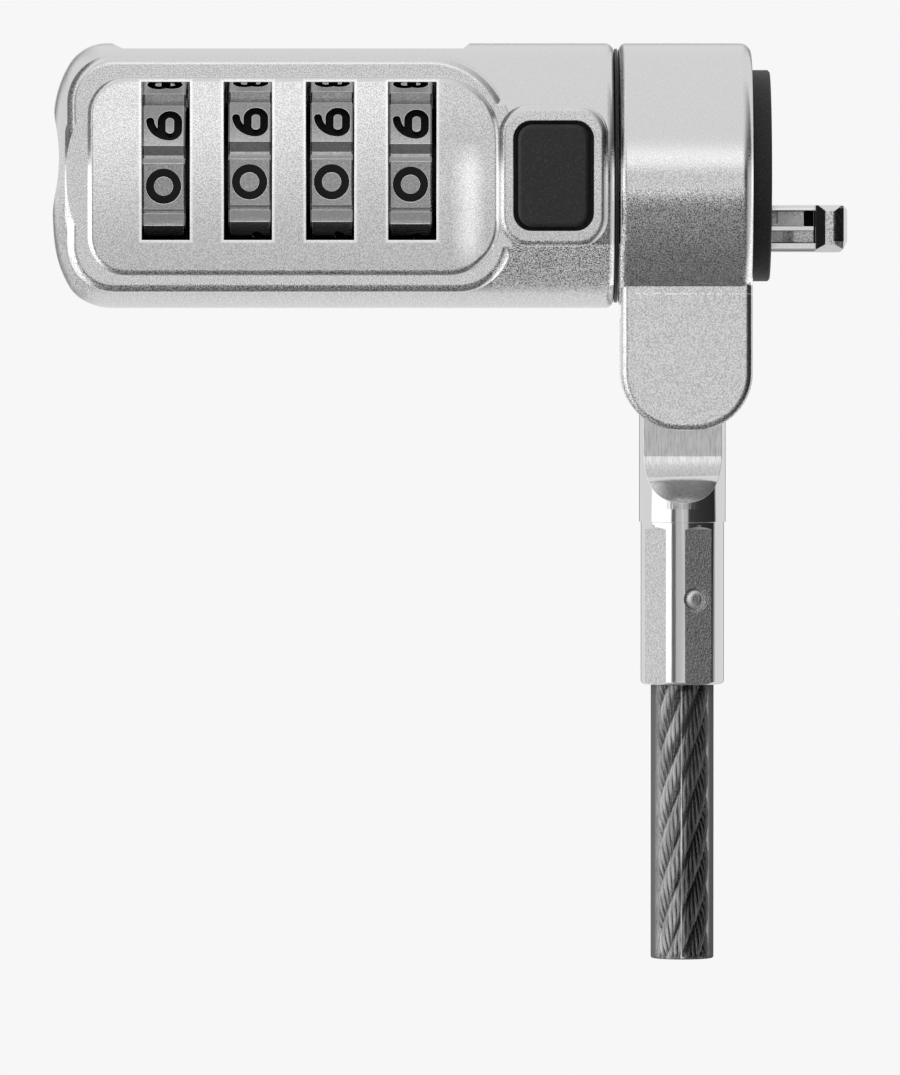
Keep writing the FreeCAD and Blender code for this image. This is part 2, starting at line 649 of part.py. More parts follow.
def coil(name, x_left, x_right, mean_radius, wire_radius, turns):
    """A compression spring about the X axis between two bound faces."""
    helix = add("Part::Helix", name + "_path")
    length = f"({x_right}) - ({x_left}) - 2 * {wire_radius}"
    bind(helix, "Height", length)
    bind(helix, "Pitch", f"({length}) / {turns}")
    bind(helix, "Radius", mean_radius)
    put(helix, f"({x_left}) + {wire_radius}", "0", "0", TURNS["X"])
    wire = add("Part::Circle", name + "_wire")
    bind(wire, "Radius", wire_radius)
    put(wire, f"({x_left}) + {wire_radius}", "0", f"-({mean_radius})", Rotation(X_AXIS, -90))
    sweep = add("Part::Sweep", name)
    sweep.Sections = [wire]
    sweep.Spine = (helix, [])
    sweep.Solid = True
    sweep.Frenet = True
    return sweep


def carriage_spring():
    return coil("carriage_spring", "-20.08", "-16.62", "2.70", "0.20", 4)


# ---------------------------------------------------------------- combination set

def tumbler(number):
    """Sleeve keyed to a dial. Its thin web has one gate, which faces the spindle's fin as the dial rests."""
    centre = dial_x(number)
    name = f"tumbler_{number + 1}"
    sleeve = turned(name + "_sleeve", [
        (f"{centre} - tumbler_half", "tumbler_bore"), (f"{centre} - web_half", "tumbler_bore"),
        (f"{centre} - web_half", "spindle_rad + 0.10"), (f"{centre} + web_half", "spindle_rad + 0.10"),
        (f"{centre} + web_half", "tumbler_bore"), (f"{centre} + tumbler_half", "tumbler_bore"),
        (f"{centre} + tumbler_half", "tumbler_rad"), (f"{centre} - tumbler_half", "tumbler_rad"),
    ])
    block = box(name + "_key_block", (f"{centre} - 1.1", f"{centre} + 1.1"), ("-0.35", "0.35"),
                ("tumbler_rad - 0.3", "tumbler_rad + 0.42"))
    key = add("Part::Compound", name + "_key")
    key.Links = [block]
    put(key, "0", "0", "0", Rotation(X_AXIS, DIAL_TURN[number]))
    gate = box(name + "_gate", (f"{centre} - web_half - 0.1", f"{centre} + web_half + 0.1"),
               ("-gate_width / 2", "gate_width / 2"), ("0.5", "tumbler_bore"))
    return cut(name, fuse(name + "_keyed", sleeve, key), gate)


def combination_spindle():
    """Shaft with one fin per dial. It can move left only when every fin faces a gate."""
    left = "cam_face + stroke + 0.05"
    shaft = turned("spindle_shaft", [(left, "0"), ("-15.70", "0"), ("-15.70", "1.0"), ("-16.60", "1.0"),
                                     ("-16.60", "spindle_rad"), (left, "spindle_rad")])
    fins = [box(f"spindle_fin_{number + 1}",
                (f"{dial_x(number)} + fin_ahead - fin_half", f"{dial_x(number)} + fin_ahead + fin_half"),
                ("-fin_width / 2", "fin_width / 2"), ("0.5", "fin_rad"))
            for number in range(4)]
    return fuse("combination_spindle", shaft, *fins)


def dial_outline():
    """Ten numeral flats with a finger groove at each corner, as (y, z) pairs."""
    points = []
    edge = size("dial_flat") / math.cos(math.radians(13))
    vee = size("dial_vee")
    for number in range(10):
        middle = 36 * number
        for radius, degrees in ((edge, -13), (edge, 13), (vee, 17.3), (vee, 18.7)):
            points.append(polar(radius, middle + degrees))
    return points


# Each numeral's centre line, in millimetres from its middle: (across, up) points, and
# arcs as (centre, radius, start degrees, end degrees). Numerals are 2.2 tall.
NUMERALS = {
    0: [("arc", (0, 0), 0.86, 0, 360)],
    1: [("line", (0.12, -0.87), (0.12, 0.87)), ("line", (0.12, 0.87), (-0.38, 0.42))],
    2: [("arc", (0, 0.32), 0.55, -30, 165), ("line", (0.48, 0.04), (-0.58, -0.87)),
        ("line", (-0.58, -0.87), (0.60, -0.87))],
    3: [("arc", (0, 0.42), 0.45, -90, 150), ("arc", (0, -0.38), 0.49, -150, 90)],
    4: [("line", (0.28, -0.87), (0.28, 0.87)), ("line", (0.28, 0.87), (-0.66, -0.38)),
        ("line", (-0.66, -0.38), (0.68, -0.38))],
    5: [("line", (0.55, 0.87), (-0.42, 0.87)), ("line", (-0.42, 0.87), (-0.50, 0.10)),
        ("arc", (0, -0.30), 0.57, -140, 140)],
    6: [("arc", (-0.30, -0.38), 0.52, 90, 270), ("line", (-0.30, -0.90), (0.30, -0.90)),
        ("arc", (0.30, -0.38), 0.52, -90, 90), ("line", (0.30, 0.14), (-0.30, 0.14)),
        ("arc", (0.43, -0.38), 1.25, 94, 180)],
    7: [("line", (-0.60, 0.87), (0.60, 0.87)), ("line", (0.60, 0.87), (-0.12, -0.87))],
    8: [("arc", (0, 0.44), 0.43, 0, 360), ("arc", (0, -0.38), 0.49, 0, 360)],
    9: [("arc", (-0.30, 0.38), 0.52, 90, 270), ("line", (-0.30, -0.14), (0.30, -0.14)),
        ("arc", (0.30, 0.38), 0.52, -90, 90), ("line", (0.30, 0.90), (-0.30, 0.90)),
        ("arc", (-0.43, 0.38), 1.25, -86, 0)],
}


def disc(centre, radius, height):
    return Part.makeCylinder(radius, height, Vector(centre[0], centre[1], -height / 2))


def stroke(item):
    """One engraved line or arc as a solid with round ends, standing on the XY plane."""
    height = 2 * ENGRAVED
    if item[0] == "line":
        (x1, y1), (x2, y2) = item[1], item[2]
        length = math.hypot(x2 - x1, y2 - y1)
        bar = Part.makeBox(length, 2 * STROKE_HALF, height, Vector(0, -STROKE_HALF, -height / 2))
        slope = math.degrees(math.atan2(y2 - y1, x2 - x1))
        bar.Placement = Placement(Vector(x1, y1, 0), Rotation(Z_AXIS, slope))
        return [bar, disc((x1, y1), STROKE_HALF, height), disc((x2, y2), STROKE_HALF, height)]
    centre, radius, start, end = item[1:]
    base = Vector(centre[0], centre[1], -height / 2)
    sweep = end - start
    outer = Part.makeCylinder(radius + STROKE_HALF, height, base, Z_AXIS, sweep)
    inner = Part.makeCylinder(radius - STROKE_HALF, height, base, Z_AXIS, 360)
    band = outer.cut(inner)
    band.rotate(Vector(centre[0], centre[1], 0), Z_AXIS, start)
    if sweep >= 360:
        return [band]
    ends = []
    for degrees in (start, end):
        angle = math.radians(degrees)
        ends.append(disc((centre[0] + radius * math.cos(angle), centre[1] + radius * math.sin(angle)),
                         STROKE_HALF, height))
    return [band] + ends


def numeral_cutters():
    """All ten numerals as solids that stand on their flats, tops towards +X, rising in order downwards."""
    obj = add("Part::Feature", "numeral_cutters")
    cutters = []
    for number, strokes in NUMERALS.items():
        pieces = [piece for item in strokes for piece in stroke(item)]
        solid = pieces[0].multiFuse(pieces[1:]) if len(pieces) > 1 else pieces[0]
        # the numeral's up is +X and its right is -Z, seen from the front
        upright = FreeCAD.Matrix(0, 1, 0, 0, 0, 0, -1, -size("dial_flat"), -1, 0, 0, 0, 0, 0, 0, 1)
        solid.transformShape(upright)
        solid.rotate(Vector(), X_AXIS, 36 * number)
        cutters.append(solid)
    obj.Shape = Part.makeCompound(cutters)
    return obj


def dial_master():
    """One dial about the X axis, centred on X = 0, with its '0' facing -Y."""
    blank = padded("dial_blank", "YZ_Plane", dial_outline(), "dial_width")
    bevelled = rounded("dial_bevelled", blank, 0.10,
                       lambda e: abs(abs(e.BoundBox.XMax) - size("dial_width / 2")) < 1e-4
                       and abs(e.BoundBox.XMax - e.BoundBox.XMin) < 1e-4, "Part::Chamfer")
    bore = rod("dial_bore_cut", "X", "dial_bore", ("-2", "2"), ("0", "0"))
    keyway = box("dial_keyway", ("-2", "2"), ("-0.42", "0.42"), ("3", "dial_bore + 0.45"))
    return cut("dial_master", bevelled, bore, keyway, numeral_cutters())


def dial(number, master):
    """A copy of the dial at its seat, turned to where it rests, with its keyway over the tumbler's key."""
    obj = add("Part::Compound", f"dial_{number + 1}")
    obj.Links = [master]
    return put(obj, f"{dial_x(number)} + {DIAL_SHIFT[number]}", "0", "0",
               Rotation(X_AXIS, DIAL_TURN[number]))


# ---------------------------------------------------------------- button, carriage and slider

def button_cap():
    top = rounded_box("cap_top", ("button_x - button_wide / 2", "button_x + button_wide / 2"),
                      ("button_face", "-6.2"), ("-button_long / 2", "button_long / 2"), 0.95, 0.30)
    flange = box("cap_flange", ("button_x - 2.88", "button_x + 2.74"),
                 ("flange_back - 0.5", "flange_back"), ("-3.7", "3.7"))
    return fuse("button_cap", top, flange)


def button_plunger():
    """The wedge under the cap. Its 45 degree face drives the carriage."""
    return padded("button_plunger", "XY_Plane", [
        ("-15.5", "flange_back"), ("-12.2", "flange_back"), ("-12.2", "-12.2 + ramp_sum - 0.05"),
        ("-15.5", "-15.5 + ramp_sum - 0.05"),
    ], "3.4")


def carriage():
    lathe = turned("carriage_blank", [
        ("carriage_left", "3.20"), ("-16.60", "3.20"), ("-16.60", "1.01"),
        ("-15.68", "1.01"), ("-15.68", "0"),
        ("carriage_right", "0"), ("carriage_right", "carriage_rad"), ("carriage_left", "carriage_rad"),
    ])
    ramp = padded("carriage_ramp", "XY_Plane", [
        ("-15.6", "-9"), ("-10", "-9"), ("-10", "-10 + ramp_sum"), ("-15.6", "-15.6 + ramp_sum"),
    ], "3.7")
    # the front is flattened so that the button's flange clears it at the end of the stroke
    flat = box("carriage_flat", ("carriage_left - 1", "carriage_right + 1"),
               ("-carriage_rad - 1", "flange_back + stroke + 0.1"), ("-carriage_rad - 1", "carriage_rad + 1"))
    tail_slot = box("carriage_slot", ("-13.42", "-11"), ("-1.22", "channel_back"),
                    ("channel_bottom", "channel_top"))
    pin_hole = rod("carriage_pin_hole", "Z", "slider_pin_rad", ("-6", "-1.5"), ("slider_pin_x", "-0.2"))
    return cut("carriage", lathe, ramp, flat, tail_slot, pin_hole)


def lock_slider():
    """The slider in the tip: a solid tail, an upper prong and a lower prong either side of the blade."""
    y = ("-1.20", "channel_back - 0.05")
    low, high = "channel_bottom + 0.05", "channel_top - 0.05"
    tail = box("slider_tail", ("-13.4", "-7.9"), y, (low, high))
    upper = box("slider_upper", ("-8", "2.15"), y, ("-3.19", high))
    lower = box("slider_lower", ("-8", "2.75"), y, (low, "-3.49"))
    blade_slot = box("slider_slot", ("-12.7", "-7"), ("-2", "2"), ("-3.49", "-3.19"))
    pin_hole = rod("slider_pin_hole", "Z", "slider_pin_rad", ("-6", "-1"), ("slider_pin_x", "-0.2"))
    step = box("slider_step", ("-3", "0.50"), ("-2", "-0.75"), ("-3.0", "-2.2"))
    scallop = rod("slider_scallop", "Z", "1.1", ("-4.3", "-3.4"), ("0.55", "-1.75"))
    return cut("lock_slider", fuse("slider_body", tail, upper, lower), blade_slot, pin_hole, step, scallop)


def lock_blade():
    strip = box("blade_strip", ("-12.68", "2.78"), ("-1.35", "channel_back - 0.1"), ("-3.47", "-3.21"))
    tail = box("blade_trim", ("-14", "-7"), ("-2", "-1.18"), ("-5", "-2"))
    pin_hole = rod("blade_pin_hole", "Z", "slider_pin_rad", ("-6", "-1"), ("slider_pin_x", "-0.2"))
    return cut("lock_blade", strip, tail, pin_hole)


def slider_pin():
    return rod("slider_pin", "Z", "slider_pin_rad - 0.01", ("-4.9", "-1.9"), ("slider_pin_x", "-0.2"))


def reset_screw():
    """Slotted screw in the closed end. A quarter turn of its cam frees the tumblers for a new code."""
    head = "barrel_left + scoop_deep + 0.15"
    shank = turned("reset_blank", [(head, "0"), ("cam_face", "0"), ("cam_face", "1.70"), (head, "1.70")])
    ear = box("reset_ear", ("cam_face - 0.45", "cam_face - 0.05"), ("-0.5", "0.5"), ("0", "2.4"))
    slot = box("reset_slot", ("barrel_left", f"{head} + 0.65"), ("-2", "2"), ("-0.3", "0.3"))
    return cut("reset_screw", fuse("reset_body", shank, ear), slot)


# ---------------------------------------------------------------- collar and cable

def swivel_collar():
    barrel = rod("collar_round", "X", "barrel_rad", ("collar_left", "collar_right"), ("0", "0"))
    left_eased = rounded("collar_left_eased", barrel, 0.5,
                         lambda e: round_edge(e) and e.BoundBox.XMax < size("collar_left + 1"))
    eased = rounded("collar_eased", left_eased, 0.7,
                    lambda e: round_edge(e) and e.BoundBox.XMin > size("collar_right - 0.1"))
    block = box("tongue_block", ("tongue_left", "tongue_right"), ("-tongue_half", "tongue_half"),
                ("tongue_bottom", "-5.6"))
    tongue = rounded("tongue", block, size("tongue_corner"),
                     lambda e: runs_along(e, Y_AXIS) and e.BoundBox.ZMax < size("tongue_bottom + 1"))
    soft = rounded("tongue_eased", tongue, 0.45,
                   lambda e: abs(abs(e.BoundBox.Center.y) - size("tongue_half")) < 1e-3
                   and e.BoundBox.ZMin < -5.7)
    outside = fuse("collar_outside", eased, soft)
    bore = rod("collar_bore_cut", "X", "collar_bore", ("collar_left - 1", "collar_right + 1"), ("0", "0"))
    recess = rod("collar_recess", "X", "retainer_rad + 0.07", ("-2.18", "collar_right + 1"), ("0", "0"))
    slot = box("tongue_slot", ("collar_left - 1", "collar_right + 1"), ("-slot_half", "slot_half"),
               ("-20", "slot_roof"))
    pin_hole = rod("tongue_pin_hole", "Y", "pivot_pin_rad", ("-tongue_half + 0.9", "tongue_half + 1"),
                   ("pivot_x", "pivot_z"))
    return cut("swivel_collar", outside, bore, recess, slot, pin_hole)


def clevis_pin():
    shaft = rod("clevis_shaft", "Y", "pivot_pin_rad - 0.01", ("-tongue_half + 0.95", "tongue_half - 0.08"),
                ("pivot_x", "pivot_z"))
    return rounded("clevis_pin", shaft, 0.15, round_edge, "Part::Chamfer")


def cable_ferrule():
    """Crimp ferrule: a flat blade on the pivot, a plain shoulder and a four sided crimp over the rope."""
    axis = ("pivot_x", "0")
    upper = rod("ferrule_upper", "Z", "ferrule_rad", ("crimp_top + 0.1", "pivot_z + ferrule_rad"), axis)
    lower = rod("ferrule_lower", "Z", "crimp_rad", ("ferrule_end", "crimp_top + 0.15"), axis)
    lip = rounded("ferrule_lip", lower, 0.25,
                  lambda e: round_edge(e) and e.BoundBox.ZMax < size("ferrule_end") + 0.1)
    eye = fuse("ferrule_eye", rod("eye_round", "Y", "ferrule_rad", ("-4", "4"), ("pivot_x", "pivot_z")),
               box("eye_below", ("pivot_x - 4", "pivot_x + 4"), ("-4", "4"), ("-40", "pivot_z")))
    solid = common("ferrule_solid", fuse("ferrule_rods", upper, lip), eye)
    tools = []
    for tag, side in (("front", -1), ("back", 1)):
        tools += blade_side(tag, side)
    for degrees in CRIMP_ANGLES:
        tools.append(crimp_facet(degrees))
    tools.append(rod("rope_socket", "Z", "rope_rad + 0.02", ("ferrule_end - 1", "-21.3"), axis))
    tools.append(rod("eye_hole", "Y", "pivot_pin_rad + 0.05", ("-4", "4"), ("pivot_x", "pivot_z")))
    tools.append(dimple("dimple_hole", "0.82", "2.05", "4"))
    return cut("cable_ferrule", solid, *tools)


def blade_side(tag, side):
    """The cut beside the blade: flat along it, then out to the round along a hollow ramp."""
    deep, far = sorted((f"{side} * blade_half", f"{side} * 4"), key=size)
    flat = box(f"blade_flat_{tag}", ("pivot_x - 4", "pivot_x + 4"), (deep, far), ("blade_end", "0"))
    start = Vector(size("blade_half"), size("blade_end"), 0)
    end = Vector(size("ferrule_rad"), size("ramp_end"), 0)
    chord = end - start
    outward = Vector(-chord.y, chord.x, 0).normalize()
    centre = (start + end) * 0.5 + outward * math.sqrt(size("ramp_rad") ** 2 - (chord.Length / 2) ** 2)
    roller = rod(f"blade_roller_{tag}", "X", "ramp_rad", ("pivot_x - 4", "pivot_x + 4"),
                 (side * centre.x, centre.y))
    below = box(f"blade_below_{tag}", ("pivot_x - 4", "pivot_x + 4"), (deep, far),
                ("ramp_end - 2", "blade_end"))
    return [flat, common(f"blade_ramp_{tag}", roller, below)]


def crimp_facet(degrees):
    """One flat of the crimp, with a short run-out at its top."""
    body = padded(f"crimp_facet_{degrees % 360}", "XZ_Plane", [
        ("crimp_flat", "ferrule_end - 1"), ("crimp_flat", "crimp_top - 0.35"),
        ("crimp_flat + 0.45", "crimp_top + 0.1"), ("4", "crimp_top + 0.1"), ("4", "ferrule_end - 1"),
    ], "5")
    body.Placement = Placement(Vector(), Rotation(Z_AXIS, degrees - 90))
    bind(body, "Placement.Base.x", "pivot_x")
    return body


def dimple(name, radius, inner, outer):
    """A cylinder square to the front right crimp facet."""
    obj = add("Part::Cylinder", name)
    bind(obj, "Radius", radius)
    bind(obj, "Height", f"({outer}) - ({inner})")
    angle = math.radians(DIMPLE_ANGLE)
    away = Vector(math.sin(angle), -math.cos(angle), 0)
    x = f"pivot_x + ({inner}) * {away.x} + {DIMPLE_SIDE} * {-away.y}"
    y = f"({inner}) * {away.y} + {DIMPLE_SIDE} * {away.x}"
    return put(obj, x, y, DIMPLE_Z, Rotation(Z_AXIS, away))


def ferrule_pin():
    """The set pin that bites into the rope, domed."""
    return rounded("ferrule_pin", dimple("ferrule_pin_rod", "0.67", "2.07", "2.50"), 0.42,
                   lambda e: round_edge(e) and e.BoundBox.YMin < -2.3)


def helical_wire(name, radius, wire_radius, phase):
    """One strand of the rope: a round wire on a right-hand helix about the cable's axis."""
    helix = add("Part::Helix", name + "_path")
    bind(helix, "Height", "-21.40 - (cable_end + 0.02)")
    bind(helix, "Pitch", "rope_lay")
    bind(helix, "Radius", radius)
    put(helix, "pivot_x", "0", "cable_end + 0.02", Rotation(Z_AXIS, phase))
    angle = math.radians(phase)
    wire = add("Part::Circle", name + "_section")
    bind(wire, "Radius", wire_radius)
    across = f"pivot_x + ({radius}) * {math.cos(angle)}"
    put(wire, across, f"({radius}) * {math.sin(angle)}", "cable_end + 0.02")
    sweep = add("Part::Sweep", name)
    sweep.Sections = [wire]
    sweep.Spine = (helix, [])
    sweep.Solid = True
    sweep.Frenet = True
    return sweep


def wire_rope():
    """Six strands laid around a straight core strand."""
    core = rod("rope_core", "Z", "rope_rad / 3 - 0.02", ("cable_end + 0.02", "-21.40"), ("pivot_x", "0"))
    strands = []
    for number in range(6):
        strands.append(helical_wire(f"rope_strand_{number + 1}", "rope_rad * 2 / 3", "rope_rad / 3 - 0.03",
                                    60 * number))
    return group("wire_rope", core, *strands)


def cable_jacket():
    tube = rod("jacket_outside", "Z", "cable_rad", ("cable_end", "ferrule_end - 0.01"), ("pivot_x", "0"))
    inside = rod("jacket_inside", "Z", "rope_rad + 0.02", ("cable_end - 1", "ferrule_end + 1"),
                 ("pivot_x", "0"))
    return cut("cable_jacket", tube, inside)


def build():
    master = dial_master()
    makers = [
        barrel_shell, nose_hub, hub_pins, swivel_washer, collar_retainer, retainer_screws, face_pad,
        t_bar, t_bar_pin, dial_spacers, end_bush, end_plate, detent_comb, comb_rivets, carriage_spring,
        combination_spindle, button_cap, button_plunger, carriage, lock_slider, lock_blade, slider_pin,
        reset_screw, swivel_collar, clevis_pin, cable_ferrule, ferrule_pin, wire_rope, cable_jacket,
    ]
    parts = [make() for make in makers]
    for number in range(4):
        parts.append(tumbler(number))
        parts.append(dial(number, master))
    return parts


def export(parts):
    """Write every sub-part once the whole document is sound."""
    doc.recompute()
    broken = [obj.Label for obj in doc.Objects if "Invalid" in obj.State or "Error" in obj.State]
    if broken:
        raise RuntimeError("failed features: " + ", ".join(broken))
    for part in parts:
        shape = part.Shape
        if shape.isNull() or not shape.isValid() or not shape.Solids:
            raise RuntimeError("bad shape: " + part.Label)
    os.makedirs("parts", exist_ok=True)
    for part in parts:
        part.Shape.exportStep(f"parts/{part.Label}.step")
        print(part.Label, len(part.Shape.Solids), round(part.Shape.Volume, 3))


export(build())
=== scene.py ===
"""Looks of the laptop cable lock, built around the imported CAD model.

The frame is the CAD's: +X towards the locking tip, +Z up, dials and button facing -Y. Lengths are in
millimetres unless a comment says metres, and MM turns them into Blender's metres.
"""

import math

import bpy
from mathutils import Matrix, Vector


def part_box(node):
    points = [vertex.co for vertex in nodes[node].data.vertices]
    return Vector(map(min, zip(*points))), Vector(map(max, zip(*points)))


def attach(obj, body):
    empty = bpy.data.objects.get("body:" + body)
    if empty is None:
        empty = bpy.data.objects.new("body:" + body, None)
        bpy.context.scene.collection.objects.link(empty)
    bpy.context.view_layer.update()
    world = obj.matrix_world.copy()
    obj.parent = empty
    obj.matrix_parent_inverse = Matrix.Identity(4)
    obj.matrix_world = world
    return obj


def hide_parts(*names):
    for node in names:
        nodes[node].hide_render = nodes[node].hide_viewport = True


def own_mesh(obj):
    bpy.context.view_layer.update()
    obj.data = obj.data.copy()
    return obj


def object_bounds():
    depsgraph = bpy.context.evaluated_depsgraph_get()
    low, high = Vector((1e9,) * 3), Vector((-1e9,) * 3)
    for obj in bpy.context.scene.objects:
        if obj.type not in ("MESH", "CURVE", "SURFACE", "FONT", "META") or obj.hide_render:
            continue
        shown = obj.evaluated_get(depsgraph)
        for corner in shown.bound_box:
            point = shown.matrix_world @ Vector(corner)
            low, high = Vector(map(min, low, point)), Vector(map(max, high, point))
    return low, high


MM = 0.001
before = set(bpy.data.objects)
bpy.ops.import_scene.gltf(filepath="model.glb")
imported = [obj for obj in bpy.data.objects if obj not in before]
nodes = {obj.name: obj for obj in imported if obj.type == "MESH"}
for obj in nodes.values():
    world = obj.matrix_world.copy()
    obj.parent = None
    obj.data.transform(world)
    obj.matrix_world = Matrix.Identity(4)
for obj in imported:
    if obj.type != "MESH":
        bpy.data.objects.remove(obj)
cad_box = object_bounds()


def in_mm(node):
    """A node's lowest and highest corners in millimetres."""
    low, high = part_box(node)
    return low / MM, high / MM


# ---------------------------------------------------------------- node helpers

class Shader:
    """A small builder for node materials. Its methods add nodes and hand back what they put out."""

    def __init__(self, name):
        self.material = bpy.data.materials.new(name)
        self.material.use_nodes = True
        self.tree = self.material.node_tree
        self.tree.nodes.clear()
        self.out = self.node("ShaderNodeOutputMaterial")
        self.bsdf = self.node("ShaderNodeBsdfPrincipled")
        self.tree.links.new(self.bsdf.outputs[0], self.out.inputs[0])

    def node(self, kind, **settings):
        made = self.tree.nodes.new(kind)
        for key, value in settings.items():
            setattr(made, key, value)
        return made

    def feed(self, socket, value):
        if isinstance(value, bpy.types.NodeSocket):
            self.tree.links.new(value, socket)
        else:
            socket.default_value = value

    def set(self, **inputs):
        sockets = {socket.name.lower(): socket for socket in self.bsdf.inputs}
        for key, value in inputs.items():
            self.feed(sockets[key.replace("_", " ")], value)
        return self

    def place(self):
        """Position in the CAD frame at rest, in millimetres."""
        coords = self.node("ShaderNodeTexCoord").outputs["Object"]
        scaled = self.node("ShaderNodeVectorMath", operation="SCALE")
        self.feed(scaled.inputs[0], coords)
        scaled.inputs["Scale"].default_value = 1 / MM
        return scaled.outputs[0]

    def split(self, vector):
        made = self.node("ShaderNodeSeparateXYZ")
        self.feed(made.inputs[0], vector)
        return made.outputs[0], made.outputs[1], made.outputs[2]

    def join(self, x, y, z):
        made = self.node("ShaderNodeCombineXYZ")
        for socket, value in zip(made.inputs, (x, y, z)):
            self.feed(socket, value)
        return made.outputs[0]

    def noise(self, where, scale, detail=2.0, roughness=0.5):
        made = self.node("ShaderNodeTexNoise")
        self.feed(made.inputs["Vector"], where)
        made.inputs["Scale"].default_value = scale
        made.inputs["Detail"].default_value = detail
        made.inputs["Roughness"].default_value = roughness
        return made.outputs["Fac"]

    def stretch(self, where, x=1.0, y=1.0, z=1.0):
        made = self.node("ShaderNodeMapping")
        self.feed(made.inputs["Vector"], where)
        made.inputs["Scale"].default_value = (x, y, z)
        return made.outputs[0]

    def math(self, operation, a, b=0.0):
        made = self.node("ShaderNodeMath", operation=operation)
        self.feed(made.inputs[0], a)
        self.feed(made.inputs[1], b)
        return made.outputs[0]

    def times(self, first, *others):
        """The product of two or more values."""
        for other in others:
            first = self.math("MULTIPLY", first, other)
        return first

    def left_of(self, share):
        """What is left of 1 when a share is taken away."""
        return self.math("SUBTRACT", 1.0, share)

    def above(self, value, low):
        """1 where a value is above a limit, else 0."""
        return self.math("GREATER_THAN", value, low)

    def below(self, value, high):
        """1 where a value is below a limit, else 0."""
        return self.math("LESS_THAN", value, high)

    def from_centre(self, a, b):
        """Distance from an axis, from the two offsets across it."""
        return self.math("SQRT", self.math("ADD", self.math("POWER", a, 2.0), self.math("POWER", b, 2.0)))

    def vector(self, operation, a, b=(0, 0, 0)):
        made = self.node("ShaderNodeVectorMath", operation=operation)
        self.feed(made.inputs[0], a)
        self.feed(made.inputs[1], b)
        return made.outputs["Value"] if operation == "DOT_PRODUCT" else made.outputs[0]

    def ramp(self, value, low, high, to_low=0.0, to_high=1.0):
        made = self.node("ShaderNodeMapRange")
        self.feed(made.inputs["Value"], value)
        for key, number in (("From Min", low), ("From Max", high), ("To Min", to_low), ("To Max", to_high)):
            made.inputs[key].default_value = number
        return made.outputs[0]

    def between(self, value, low, high):
        """1 where low < value < high, else 0."""
        return self.times(self.above(value, low), self.below(value, high))

    def mix(self, factor, a, b):
        """Colour or vector a where factor is 0, and b where it is 1."""
        made = self.node("ShaderNodeMix", data_type="RGBA")
        self.feed(made.inputs["Factor"], factor)
        self.feed(made.inputs["A"], a)
        self.feed(made.inputs["B"], b)
        return made.outputs["Result"]

    def blend(self, factor, a, b):
        """Number a where factor is 0, and b where it is 1."""
        made = self.node("ShaderNodeMix", data_type="FLOAT")
        self.feed(made.inputs["Factor"], factor)
        self.feed(made.inputs["A"], a)
        self.feed(made.inputs["B"], b)
        return made.outputs["Result"]

    def layer(self, factor, under, over):
        """One surface laid over another by factor."""
        made = self.node("ShaderNodeMixShader")
        self.feed(made.inputs[0], factor)
        self.feed(made.inputs[1], under)
        self.feed(made.inputs[2], over)
        return made.outputs[0]

    def bump(self, height, distance, strength=1.0, normal=None):
        made = self.node("ShaderNodeBump")
        self.feed(made.inputs["Height"], height)
        made.inputs["Distance"].default_value = distance * MM
        made.inputs["Strength"].default_value = strength
        if normal is not None:
            self.feed(made.inputs["Normal"], normal)
        return made.outputs[0]

    def soft_edges(self, radius):
        """Normals rounded over sharp edges, and how far each point is bent: 0 on faces, 1 on edges."""
        bevel = self.node("ShaderNodeBevel", samples=6)
        bevel.inputs["Radius"].default_value = radius * MM
        straight = self.node("ShaderNodeNewGeometry").outputs["Normal"]
        bent = self.math("SUBTRACT", 1.0, self.vector("DOT_PRODUCT", bevel.outputs[0], straight))
        return bevel.outputs[0], self.ramp(bent, 0.01, 0.12)


def grey(level):
    return (level, level, level, 1.0)


# ---------------------------------------------------------------- materials

GRAIN_SCALE = 13.5         # blasted grain, cells per millimetre
EVEN = (0.3, 0.7)          # the range that covers nearly all of a noise's values

# Where the casting changes, in millimetres.
PLATE_FACE = -7.3          # the inner plate of the front lies in front of this Y
LEDGE_FACE = -6.4          # the raised front lies in front of this Y
LEDGE_END = -16.0          # the barrel's bare end and the collar lie beyond this X
DOME_END = -44.45          # the rounded end of the barrel lies before this X
LEFT_BEVELS = -40.0        # the left bevels of the raised front lie before this X
BEVEL_TOP, BEVEL_BOTTOM = 8.3, -8.3
BEVEL_BOTTOM_PAST_LEDGE = -6.9
# where the painted highlight below the button lies
BELOW_BUTTON_X = (-17.6, -9.3)
BELOW_BUTTON_Z = (-8.0, -4.3)
# where the painted highlight line across the root of the collar's tongue lies
SCRIBED_LINE_Z = (-7.48, -7.40)
SCRIBED_LINE_LEFT = -8.6

DIAL_PITCH = 5.16
FIRST_DIAL = -38.10
WINDOW_HALF = 1.52
WINDOW_TOP, WINDOW_BOTTOM = 5.89, -4.04
WINDOW_REACH = 1.9         # windows and rims end within this far of the outer dials' centres
RIM = 0.16                 # width of the painted highlight on the rim around a dial window


class Spot:
    """The point being shaded: its place, its rounded normal, and how light its fleck of grain is."""

    def __init__(self, s, where, rounded):
        self.x, self.y, self.z = s.split(where)
        self.nx, self.ny, self.nz = s.split(rounded)
        self.fleck = s.noise(where, GRAIN_SCALE, detail=1.0, roughness=0.5)


